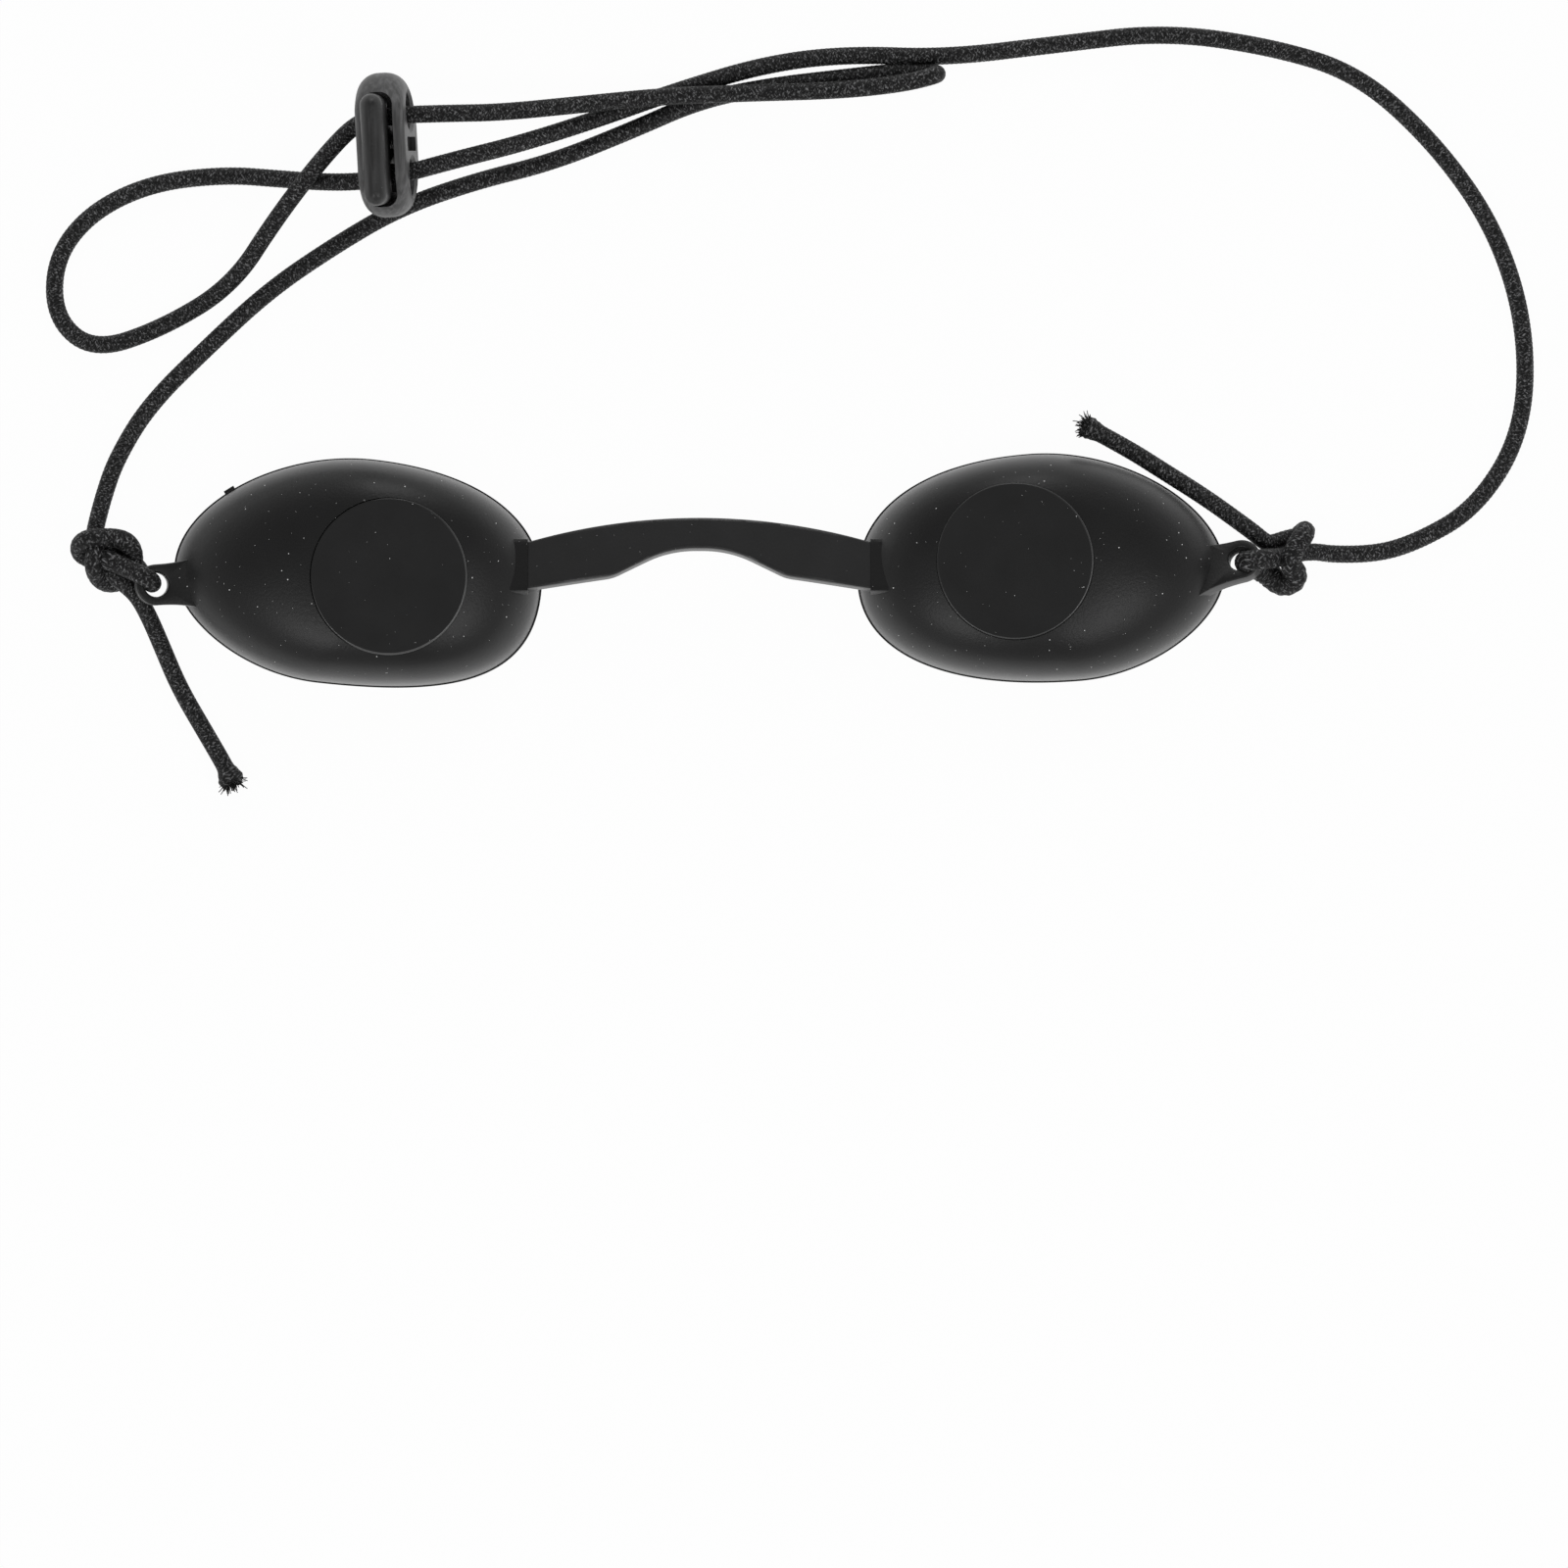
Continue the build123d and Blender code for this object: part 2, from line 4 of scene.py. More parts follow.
import bmesh
import bpy
import numpy as np
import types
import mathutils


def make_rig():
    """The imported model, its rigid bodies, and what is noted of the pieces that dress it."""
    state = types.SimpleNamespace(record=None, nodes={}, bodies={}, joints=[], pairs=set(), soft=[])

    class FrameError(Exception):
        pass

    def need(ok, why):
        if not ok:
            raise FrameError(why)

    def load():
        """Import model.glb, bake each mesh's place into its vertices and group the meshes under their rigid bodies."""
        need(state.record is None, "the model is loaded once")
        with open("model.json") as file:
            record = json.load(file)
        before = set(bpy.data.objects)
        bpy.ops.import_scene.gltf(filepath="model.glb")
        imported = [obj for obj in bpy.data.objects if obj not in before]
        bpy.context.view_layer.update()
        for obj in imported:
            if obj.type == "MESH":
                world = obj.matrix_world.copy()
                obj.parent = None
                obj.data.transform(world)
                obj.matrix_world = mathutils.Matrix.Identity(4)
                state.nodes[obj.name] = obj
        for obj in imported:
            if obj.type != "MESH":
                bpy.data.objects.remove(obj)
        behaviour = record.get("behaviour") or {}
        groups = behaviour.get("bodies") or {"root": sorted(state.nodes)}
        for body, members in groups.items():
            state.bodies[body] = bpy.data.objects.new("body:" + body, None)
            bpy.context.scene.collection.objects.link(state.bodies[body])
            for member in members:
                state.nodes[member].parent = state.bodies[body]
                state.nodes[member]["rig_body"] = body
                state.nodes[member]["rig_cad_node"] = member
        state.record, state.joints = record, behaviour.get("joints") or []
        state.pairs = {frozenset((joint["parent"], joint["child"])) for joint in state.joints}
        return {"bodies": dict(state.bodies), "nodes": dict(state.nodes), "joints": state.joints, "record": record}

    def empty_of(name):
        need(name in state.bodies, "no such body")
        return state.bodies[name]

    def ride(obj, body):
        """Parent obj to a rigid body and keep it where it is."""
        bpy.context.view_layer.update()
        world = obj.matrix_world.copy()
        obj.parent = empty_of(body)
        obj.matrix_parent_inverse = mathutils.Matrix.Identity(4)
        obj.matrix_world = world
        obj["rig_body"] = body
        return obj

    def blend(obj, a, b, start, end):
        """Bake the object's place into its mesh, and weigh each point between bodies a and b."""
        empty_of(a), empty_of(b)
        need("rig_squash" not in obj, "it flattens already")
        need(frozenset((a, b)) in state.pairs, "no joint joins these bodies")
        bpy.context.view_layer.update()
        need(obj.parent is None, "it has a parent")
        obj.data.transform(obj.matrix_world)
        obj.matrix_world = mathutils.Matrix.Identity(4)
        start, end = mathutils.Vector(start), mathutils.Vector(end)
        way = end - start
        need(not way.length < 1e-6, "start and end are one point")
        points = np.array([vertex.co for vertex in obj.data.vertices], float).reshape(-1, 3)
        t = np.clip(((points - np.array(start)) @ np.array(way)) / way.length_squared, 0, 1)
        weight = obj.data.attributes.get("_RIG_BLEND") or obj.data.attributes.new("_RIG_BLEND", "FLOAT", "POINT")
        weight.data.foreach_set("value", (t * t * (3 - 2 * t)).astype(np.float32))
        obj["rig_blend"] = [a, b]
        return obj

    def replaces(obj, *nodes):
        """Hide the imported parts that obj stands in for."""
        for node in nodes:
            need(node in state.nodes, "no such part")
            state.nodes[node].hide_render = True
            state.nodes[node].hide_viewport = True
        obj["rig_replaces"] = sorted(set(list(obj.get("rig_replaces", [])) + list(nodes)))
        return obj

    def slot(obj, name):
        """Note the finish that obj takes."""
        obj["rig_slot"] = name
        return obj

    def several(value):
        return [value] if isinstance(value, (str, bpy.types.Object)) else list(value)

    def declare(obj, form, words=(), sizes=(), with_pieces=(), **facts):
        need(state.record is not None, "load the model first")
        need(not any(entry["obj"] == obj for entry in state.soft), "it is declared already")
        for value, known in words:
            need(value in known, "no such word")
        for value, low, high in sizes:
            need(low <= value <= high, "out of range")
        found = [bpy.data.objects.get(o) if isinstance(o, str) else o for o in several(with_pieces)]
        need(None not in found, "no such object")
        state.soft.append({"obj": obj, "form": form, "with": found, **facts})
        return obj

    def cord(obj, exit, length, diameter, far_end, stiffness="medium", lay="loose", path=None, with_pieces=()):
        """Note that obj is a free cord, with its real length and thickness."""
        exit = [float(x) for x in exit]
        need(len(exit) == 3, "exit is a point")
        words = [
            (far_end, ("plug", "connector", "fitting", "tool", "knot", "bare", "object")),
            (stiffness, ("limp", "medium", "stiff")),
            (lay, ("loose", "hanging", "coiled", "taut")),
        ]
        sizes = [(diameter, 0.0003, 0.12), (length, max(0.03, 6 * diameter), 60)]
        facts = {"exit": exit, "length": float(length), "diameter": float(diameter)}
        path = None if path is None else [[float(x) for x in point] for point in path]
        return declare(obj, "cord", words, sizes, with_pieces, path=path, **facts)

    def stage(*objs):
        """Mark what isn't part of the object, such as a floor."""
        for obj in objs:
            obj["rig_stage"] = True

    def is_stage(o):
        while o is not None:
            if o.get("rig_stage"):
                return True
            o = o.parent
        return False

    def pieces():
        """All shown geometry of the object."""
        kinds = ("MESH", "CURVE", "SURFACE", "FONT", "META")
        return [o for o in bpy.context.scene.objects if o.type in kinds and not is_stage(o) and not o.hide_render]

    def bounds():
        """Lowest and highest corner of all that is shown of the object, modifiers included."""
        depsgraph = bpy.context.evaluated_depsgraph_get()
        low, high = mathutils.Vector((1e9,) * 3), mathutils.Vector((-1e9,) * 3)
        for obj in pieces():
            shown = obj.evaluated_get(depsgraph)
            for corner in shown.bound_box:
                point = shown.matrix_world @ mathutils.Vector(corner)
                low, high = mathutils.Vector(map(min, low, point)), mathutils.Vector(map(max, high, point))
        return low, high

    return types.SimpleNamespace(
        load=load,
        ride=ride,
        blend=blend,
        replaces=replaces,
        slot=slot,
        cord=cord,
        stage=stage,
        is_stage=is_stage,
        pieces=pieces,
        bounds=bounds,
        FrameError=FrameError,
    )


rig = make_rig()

# Tanning goggles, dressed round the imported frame. Lengths are in metres and angles in degrees.
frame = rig.load()
cad_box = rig.bounds()

# Eye cups, drawn with +X to the nose
cup_spacing = 0.0918
cup_length = 0.0495
cup_brow = 0.0151
cup_cheek = 0.0156
cup_depth = 0.0124
cup_wall = 0.0013
brow_point_share = 0.007
cheek_point_share = -0.16
outer_point_share = -0.12
nose_point_share = -0.03
outer_handle_share = 0.5
nose_handle_share = 0.62
crown_lean = 0.0015
along_power = 2.2
across_power = 3.6
rim_width = 0.0002
rim_height = 0.0009
rim_rounding = 0.00007
rounding_steps = 5
seat_edge = 0.00006
hollow_start_share = 0.001
cup_columns = 288
cup_rings = 64
meeting_rounds = 40
meeting_top_share = 0.9999
trim_top_share = 0.97
trim_rings = 24

# The nib left where the left cup's gate was cut off
gate_length = 0.0015
gate_height = 0.0008
gate_share = 0.44
gate_rounding = 0.00008

# Window discs and their seats
window_radius = 0.0105
window_thickness = 0.0018
window_tilt = 2.6
window_drop = 0.00093
window_chamfer = 0.00025
window_ledge = 0.0012
window_ledge_depth = 0.0011
seat_wall = 0.0012
window_fit = 0.00003
window_columns = 240
window_face_rings = 24
window_face_shares = (0.02, 0.97)

# Cord ears on the cups' outer ends
ear_width = 0.0055
ear_thickness = 0.0022
ear_hole_radius = 0.00163
ear_root = 0.0068
ear_flare = 0.0012
ear_flare_power = 2.5
ear_height = 0.0047
ear_climb = 12.0
ear_overhang = 0.0021
ear_rounding = 0.0003
ear_round_points = 40
ear_flank_points = 24
ear_root_points = 26

# Nose bridge
bridge_inset = 0.0018
bridge_length = cup_spacing - cup_length + 2 * bridge_inset
bridge_end_width = 0.0065
bridge_thickness = 0.0022
bridge_bow = 0.0023
bridge_tilt = 12.0
bridge_rise = 0.0004
bridge_height = 0.0059
bridge_brow_rise = 0.00275
bridge_arch_rise = 0.00505
bridge_knee_rise = 0.0014
bridge_knee_span = 0.023
bridge_arch_span = 0.008
bridge_knee_radius = 0.006
bridge_arch_share = 0.43
bridge_edge = 0.00035
bridge_clearance = 0.00005
bridge_stations = 321
bridge_columns = 72
boss_depth = 0.0034
boss_step = 0.00012
boss_brim = 0.0004
boss_rounding = 0.0003
block_columns = 48

# Cord lock
lock_x = -0.0412
lock_y = 0.0573
lock_lean = 5.0
lock_tip = 4.0
lock_turn = 3.0
lock_width = 0.0193
lock_height = 0.014
lock_thickness = 0.0066
lock_foot_radius = 0.007
lock_shoulder_radius = 0.0054
lock_side_radius = 0.0029
lock_crown = 0.0011
lock_foot_ease = 0.0005
lock_floor = 0.0016
lock_columns = 168
lock_foot_rings = 22
lock_wall_rings = 6
lock_crown_rings = 40
lock_way_columns = 64
lock_hole_radius = 0.0026
lock_hole_spacing = 0.0089
lock_hole_height = 0.0066
lock_hole_places = (-lock_hole_spacing / 2, lock_hole_spacing / 2)
lock_port = 0.0019
lock_port_rounding = 0.0002
button_width = 0.0149
button_thickness = 0.0039
button_proud = 0.0042
button_travel = 0.003
button_fit = 0.0002
button_crown = 0.0017
button_slot_width = 0.0038
button_slot_rounding = 0.0003
button_columns = 120
button_foot_rings = 8
button_crown_rings = 10
button_least_thickness = 0.0002
button_least_radius = 0.0001
button_foot = 0.0012
button_narrowing = 0.0008
button_aside = 0.00055
pocket_aside = 0.0002
pocket_narrowing = 0.0002
pocket_wall = 0.0011
pocket_down = 0.0006
lock_way_stretch = 1.4
lock_way_flare = 0.0004
lock_port_height = 0.0086
lock_port_depth = 0.0009

# Cord and its braid
cord_diameter = 0.0023
cord_width = 0.00237
cord_gap = 0.0003
braid_strands = 8
braid_step = 0.00062
braid_relief = 0.00011
braid_lift = 0.5
braid_narrowing = 1.85
braid_base = 0.2
braid_span = 1.7
cord_sides = 32
cord_ring_step = 0.0001
path_fineness = 48
merge_distance = 0.0000005

# The cut ends, where the braid opens
fray_length = 0.003
left_fray_share = 0.5
right_fray_share = 0.3
fray_quickness = 1.25
fray_fold_step = 0.0009
fray_fold_share = 0.05
fray_round = 0.0007
fray_closing = 0.75
fray_reach = 0.00135
fray_hairs = 150
fray_seeds = {"left_tail": 11, "right_tail": 23}
hair_width = 0.00011
hair_least = 0.0003
hair_most = 0.0014
hair_share = (0.4, 1.0)
hair_lean = (0.2, 1.2)
hair_sway = 0.3
hair_curl = 1.8
hair_depth = (0.3, 0.9)
hair_points = 7
hair_sides = 5
hair_clearance = 0.00008

# How far each side of the middle the strap and the cord bend as the bridge flexes
bridge_blend = 0.019
cord_blend = 0.022

# Camera: straight above, over the middle of the photograph's frame
pixel = 0.000132
photo_side = 1600
origin_column = 714
origin_row = 582.5
camera_height = 1.2
camera_reach = 10.0
sensor = 36.0

# Studio: the floor, how much of its white it gives by itself, and the soft boxes' places, sides and watts
floor_half = 4.0
floor_white = 0.97
lamp_aim = (0.0, 0.02, 0.0)
soft_boxes = {
    "left_box": ((-0.32, -0.34, 0.7), 0.3, 1.2),
    "right_box": ((0.42, -0.26, 0.7), 0.3, 1.2),
    "brow_box": ((0.05, 0.75, 0.45), 0.35, 1.1),
}
tent_stops = [(0.0, 1.0), (0.25, 0.8), (0.55, 0.3), (1.0, 0.2)]

# Finishes: how fine the blotches, grains and streaks are, their ramps, and the greys between which they vary
slow_scale = 190.0
fine_scale = 2600.0
streak_scale = 1900.0
wire_scale = 1800.0
# How far a face looks up, and the share of the film and painted sheen that it takes
painted_sheen_film_stops = [(0.0, 0.0), (0.04, 1.0), (0.4, 0.35), (0.8, 0.0)]
streak_stops = [(0.42, 0.0), (0.62, 0.5), (0.75, 1.0)]
# Ramp of the painted glints along the cord's glossy threads
thread_glint_stops = [(0.50, 0.0), (0.58, 0.25), (0.70, 1.0)]
mottle_shares = (0.8, 1.25)
streak_shares = (0.75, 2.1)
streak_draw = (1.0, 0.07, 1.0)
wire_draw = (1.0, 1.0, 6.0)
wire_greys = (0.42, 0.62)
strand_grey = (0.003, 1.05)
# Grey of the painted glints on the cord's threads
thread_glint_grey = (0.25, 1.02)
threads_across = 2.2
threads_along = 0.9
# The grey of the painted highlight on the window's rim
rim_highlight_grey = 0.09

# Dust: each pattern's scale and the share of it that shows. The fibres' patterns are also drawn out, and
# turned by these radians.
dust_grey = 0.85
lock_dust_grey = 0.4
speck_patterns = [(520.0, 0.042), (1150.0, 0.04)]
fibre_patterns = [
    (900.0, 0.02, (0.13, 1.0, 1.0), (0.3, 0.5, 0.9)),
    (800.0, 0.018, (1.0, 0.11, 1.0), (0.7, 0.2, 0.4)),
]

# The cord's routes, from knot to lock and from lock to knot, and its height where it lies on the floor
lying = cord_diameter / 2
left_tail_route = [
    (-0.0793, 0.0006, 0.0032), (-0.0790, -0.0004, 0.0038), (-0.0774, -0.0017, 0.0038),
    (-0.0755, -0.0034, 0.003), (-0.074, -0.0063, 0.0017), (-0.0724, -0.0101, lying),
    (-0.07, -0.0158, lying), (-0.0665, -0.0218, lying), (-0.0635, -0.0269, 0.0015),
    (-0.0627, -0.0288, 0.0019),
]
left_run_route = [
    (-0.081, 0.0069, lying), (-0.0802, 0.0101, lying), (-0.0784, 0.0152, lying),
    (-0.0741, 0.0223, lying), (-0.0663, 0.03, lying), (-0.0581, 0.0376, lying),
    (-0.0495, 0.0435, lying), (-0.0405, 0.0488, lying), (-0.0302, 0.0524, lying),
    (-0.02, 0.0549, lying), (-0.0095, 0.0591, lying), (0.0, 0.0633, lying),
    (0.0095, 0.0652, lying), (0.019, 0.0663, lying), (0.027, 0.0672, lying),
    (0.0319, 0.067, 0.0012), (0.0319, 0.0663, 0.006), (0.0272, 0.0652, 0.0052),
    (0.019, 0.0644, 0.0041), (0.008, 0.0641, 0.0038), (-0.004, 0.0637, 0.0039),
    (-0.0155, 0.0625, 0.0047), (-0.0265, 0.0612, 0.0072), (-0.0335, 0.06095, 0.0089),
    (-0.0376, 0.06085, 0.00865),
]
loop_route = [
    (-0.0376, 0.06085, 0.00865), (-0.0413, 0.0607, 0.00842), (-0.0455, 0.0601, 0.0081),
    (-0.0502, 0.0554, 0.0073), (-0.0567, 0.0473, 0.005), (-0.0628, 0.0383, 0.0019),
    (-0.0723, 0.0326, lying), (-0.0815, 0.0295, lying), (-0.0868, 0.0339, lying),
    (-0.0868, 0.0419, lying), (-0.0821, 0.0481, lying), (-0.074, 0.0521, lying),
    (-0.064, 0.0533, lying), (-0.056, 0.0526, 0.0023), (-0.0504, 0.052, 0.0052),
    (-0.0456, 0.0519, 0.0073), (-0.0415, 0.0525, 0.0078), (-0.0373, 0.0535, 0.00815),
]
right_run_route = [
    (-0.0373, 0.0535, 0.00815), (-0.0325, 0.0548, 0.0085), (-0.024, 0.0571, 0.006),
    (-0.014, 0.0606, 0.0021), (-0.003, 0.0646, lying), (0.009, 0.0682, lying),
    (0.02, 0.0695, lying), (0.033, 0.069, lying), (0.048, 0.0708, lying),
    (0.0625, 0.0725, lying), (0.0769, 0.0705, lying), (0.0886, 0.0669, lying),
    (0.0989, 0.0576, lying), (0.107, 0.0462, lying), (0.1112, 0.033, lying),
    (0.1109, 0.0189, lying), (0.1046, 0.0084, lying), (0.0957, 0.0034, lying),
    (0.0892, 0.002, lying), (0.08455, 0.0023, lying),
]
right_tail_route = [
    (0.0803, 0.0046, 0.0012), (0.0789, 0.0043, 0.0012), (0.0775, 0.0038, 0.0014),
    (0.0763, 0.0036, 0.0019), (0.0745, 0.0051, 0.0021), (0.0721, 0.0069, 0.0015),
    (0.0681, 0.0098, lying), (0.0627, 0.0132, lying), (0.0572, 0.0167, lying),
    (0.0516, 0.0196, 0.0017),
]

# The knots' routes: on from the run's end, through the ear's hole and back, to the tail's start
left_knot_route = [
    (-0.081, 0.0069, lying), (-0.0815, 0.0048, 0.0014), (-0.0812, 0.0033, 0.003),
    (-0.0809, 0.0018, 0.004), (-0.0812, 0.0004, 0.0034), (-0.081, -0.001, 0.0018),
    (-0.0798, -0.0019, 0.00125), (-0.0782, -0.0017, 0.0013), (-0.0768, -0.0007, 0.0023),
    (-0.0759, 0.0008, 0.0033), (-0.0759, 0.0026, 0.0036), (-0.0767, 0.004, 0.004),
    (-0.0783, 0.0044, 0.0043), (-0.0803, 0.0043, 0.0044), (-0.0821, 0.0041, 0.0036),
    (-0.0835, 0.0034, 0.0024), (-0.0834, 0.0021, 0.0015), (-0.082, 0.0016, 0.0012),
    (-0.0804, 0.0015, 0.0018), (-0.0788, 0.0011, 0.0034), (-0.0771, 0.0004, 0.0052),
    (-0.0754, -0.0004, 0.007), (-0.0741, -0.001, 0.0079), (-0.0733, -0.0015, 0.0073),
    (-0.0734, -0.0018, 0.005), (-0.0735, -0.0018, 0.0026), (-0.0744, -0.0012, 0.0013),
    (-0.0754, 0.0, 0.0012), (-0.0765, 0.0015, 0.0012), (-0.078, 0.0028, 0.0012),
    (-0.0798, 0.0029, 0.00125), (-0.0799, 0.0016, 0.0017), (-0.0793, 0.0006, 0.0032),
]
right_knot_route = [
    (0.08455, 0.0023, lying), (0.0833, 0.0025, 0.00125), (0.0817, 0.0025, 0.002),
    (0.0798, 0.0022, 0.0029), (0.0779, 0.0016, 0.0044), (0.0761, 0.0015, 0.0062),
    (0.0746, 0.0013, 0.0077), (0.0735, 0.0011, 0.0079), (0.0732, 0.0011, 0.0058),
    (0.0734, 0.001, 0.0032), (0.074, 0.0008, 0.0016), (0.0752, 0.0003, 0.00125),
    (0.0765, -0.0003, 0.0013), (0.0772, -0.0013, 0.0016), (0.0785, -0.0021, 0.0019),
    (0.08, -0.0016, 0.0024), (0.0802, -0.0002, 0.0034), (0.0789, 0.0008, 0.0048),
    (0.0797, 0.0026, 0.0056), (0.0806, 0.004, 0.0052), (0.0816, 0.0053, 0.0036),
    (0.0812, 0.0054, 0.0018), (0.0803, 0.0046, 0.0012),
]
# Where each knot is pressed wider than the cord: shares of its length, and its width there as a share
left_swell_shares = [(0.0, 1.0), (0.08, 1.02), (0.2, 1.12), (0.62, 1.12), (0.7, 1.06), (0.9, 1.1), (1.0, 1.0)]
right_swell_shares = [
    (0.0, 1.0), (0.1, 0.98), (0.2, 1.06), (0.3, 1.18), (0.42, 1.3), (0.5, 1.42), (0.7, 1.42), (0.78, 1.16),
    (0.88, 1.22), (0.96, 1.08), (1.0, 1.0),
]
knot_push = 0.00205
knot_skip = 0.0034
knot_rounds = 160
knot_shove = (0.25, 0.25, 0.7)
knot_least_distance = 0.0002
knot_neighbour = 6
knot_smoothing = 0.12
knot_hold = (0.2, 0.2, 0.02)
knot_crease_from = 1.08
knot_crease_share = 0.12
knot_crease_step = 0.0008


# Finishes

def operator(operation, swapped=False):
    """One maths node, as an operator on two values."""
    def applied(value, other):
        first, second = (other, value) if swapped else (value, other)
        return value.finish.node("ShaderNodeMath", {"operation": operation}, {0: first, 1: second})
    return applied


class Value:
    """What one shader node gives, with the sums that the finishes write on it."""

    def __init__(self, finish, socket):
        self.finish = finish
        self.socket = socket

    def cosine(self):
        return self.finish.node("ShaderNodeMath", {"operation": "COSINE"}, {0: self})

    __add__ = operator("ADD")
    __radd__ = operator("ADD", swapped=True)
    __sub__ = operator("SUBTRACT")
    __rsub__ = operator("SUBTRACT", swapped=True)
    __mul__ = operator("MULTIPLY")
    __rmul__ = operator("MULTIPLY", swapped=True)
    __pow__ = operator("POWER")
    __gt__ = operator("GREATER_THAN")
    __lt__ = operator("LESS_THAN")
    either = operator("MAXIMUM")


class Shading:
    """A node tree, made node by node."""

    def __init__(self, tree):
        self.tree = tree

    def node(self, kind, settings, sockets, output=0):
        """A node: its settings are made first, then its sockets take their values or links."""
        made = self.tree.nodes.new(kind)
        for name, value in settings.items():
            if name == "stops":
                self.stops(made.color_ramp, value)
            else:
                setattr(made, name, value)
        for name, value in sockets.items():
            self.feed(made.inputs[name], value)
        return Value(self, made.outputs[output])

    def stops(self, ramp, stops):
        while len(ramp.elements) < len(stops):
            ramp.elements.new(1.0)
        for element, (place, level) in zip(ramp.elements, stops):
            element.position = place
            element.color = (level, level, level, 1.0)

    def feed(self, socket, value):
        if isinstance(value, Value):
            self.tree.links.new(value.socket, socket)
        else:
            socket.default_value = value

    def place(self):
        return self.node("ShaderNodeTexCoord", {}, {}, output="Object")

    def facing(self):
        return self.node("ShaderNodeTexCoord", {}, {}, output="Normal")

    def along(self):
        return self.node("ShaderNodeUVMap", {"uv_map": "skin"}, {})

    def scaled(self, vector, scale, turn=(0.0, 0.0, 0.0)):
        return self.node("ShaderNodeMapping", {}, {"Vector": vector, "Scale": scale, "Rotation": turn})

    def moved(self, vector, move):
        return self.node("ShaderNodeMapping", {}, {"Vector": vector, "Location": move})

    def parts(self, vector):
        made = self.node("ShaderNodeSeparateXYZ", {}, {"Vector": vector})
        outputs = made.socket.node.outputs
        return [Value(self, outputs[axis]) for axis in "XYZ"]

    def noise(self, vector, scale, detail=2.0):
        return self.node("ShaderNodeTexNoise", {}, {"Vector": vector, "Scale": scale, "Detail": detail})

    def specks(self, vector, scale):
        return self.node("ShaderNodeTexVoronoi", {}, {"Vector": vector, "Scale": scale})

    def ramp(self, value, stops):
        return self.node("ShaderNodeValToRGB", {"stops": stops}, {"Fac": value})

    def mix(self, factor, first, second):
        return self.node("ShaderNodeMix", {"data_type": "RGBA"}, {0: factor, 6: first, 7: second}, output=2)

    def bump(self, height, depth, strength=1.0):
        return self.node("ShaderNodeBump", {}, {"Height": height, "Distance": depth, "Strength": strength})


class Finish(Shading):
    """A material."""

    def __init__(self, name):
        self.material = bpy.data.materials.new(name)
        self.material.use_nodes = True
        super().__init__(self.material.node_tree)
        self.shader = self.tree.nodes["Principled BSDF"]

    def surface(self, **sockets):
        for name, value in sockets.items():
            self.feed(self.shader.inputs[name.replace("_", " ")], value)


def grey(level, blue=1.0):
    return (level, level, level * blue, 1.0)


def dusty(finish, place, amount):
    """A mask of dust: small round specks, and short fibres where a pattern is drawn out along a line."""
    masks = [finish.specks(place, scale) < share * amount for scale, share in speck_patterns]
    for scale, share, drawn, turned in fibre_patterns:
        masks.append(finish.specks(finish.scaled(place, drawn, turned), scale) < share * amount)
    specks, fine, fibres, more_fibres = masks
    return specks.either(fine).either(fibres.either(more_fibres))


def painted_sheen_film(finish, colour, slow, level):
    """A fine mottled film with painted sheen: the steep sides made lighter, as their grazing reflection would be, none
    on flat tops and none inside.
    """
    upward = finish.parts(finish.facing())[2]
    film_and_painted_sheen = finish.ramp(upward, painted_sheen_film_stops)
    return finish.mix(film_and_painted_sheen * (0.55 + slow * 0.9), colour, grey(level))


def painted_rim_highlight(finish, colour, place, slow, centre):
    """Painted highlight on the window's rim: its rounded edge made lighter in broken arcs, most on its lower right."""
    x, y, _ = finish.parts(finish.moved(place, tuple(-centre)))
    from_axis = (x * x + y * y) ** 0.5
    toward = 0.35 + (x * 0.6 - y * 0.8) * (0.65 / window_radius)
    rim_highlight = (from_axis > window_radius - 1.1 * window_chamfer) * toward * (0.4 + slow * 1.2)
    return finish.mix(rim_highlight, colour, grey(rim_highlight_grey))


def moulded(name, level, roughness, grain, dust, film_and_painted_sheen=0.0, sheen=0.0, gloss=0.5, centre=None):
    """Moulded plastic: a slow mottling of colour and gloss, a fine spark-eroded grain, and dust on it, and where asked
    a film with painted sheen on steep sides and a painted highlight round a window's rim.
    """
    finish = Finish(name)
    place = finish.place()
    slow = finish.noise(place, slow_scale, 3.0)
    fine = finish.noise(place, fine_scale)
    dark, light = mottle_shares
    colour = finish.mix(slow, grey(level * dark), grey(level * light, 1.03))
    # a mottled film with painted sheen: the steep sides made lighter
    if film_and_painted_sheen:
        colour = painted_sheen_film(finish, colour, slow, film_and_painted_sheen)
    # a painted highlight round the window's rim
    if centre is not None:
        colour = painted_rim_highlight(finish, colour, place, slow, centre)
    mask = dusty(finish, place, dust)
    finish.surface(Base_Color=finish.mix(mask, colour, grey(dust_grey)))
    finish.surface(Roughness=roughness - 0.05 + slow * 0.07 + fine * 0.05 + mask * 0.3)
    finish.surface(Normal=finish.bump(fine * 0.7 + slow * 0.3, grain))
    finish.surface(Sheen_Weight=sheen, Sheen_Roughness=0.35, Specular_IOR_Level=gloss)
    return finish.material


def streaked(name, level, roughness):
    """The lock's plastic: drawn along its length in faint lighter streaks, worn paler where they are."""
    finish = Finish(name)
    place = finish.place()
    streaks = finish.noise(finish.scaled(place, streak_draw), streak_scale, 3.0)
    fine = finish.noise(place, fine_scale)
    pale = finish.ramp(streaks, streak_stops)
    dark, light = streak_shares
    colour = finish.mix(pale, grey(level * dark), grey(level * light, 1.02))
    mask = dusty(finish, place, 0.5)
    finish.surface(Base_Color=finish.mix(mask, colour, grey(lock_dust_grey)))
    finish.surface(Roughness=roughness + streaks * 0.1 + mask * 0.3)
    finish.surface(Normal=finish.bump(fine * 0.6 + streaks * 0.4, 0.00004))
    return finish.material


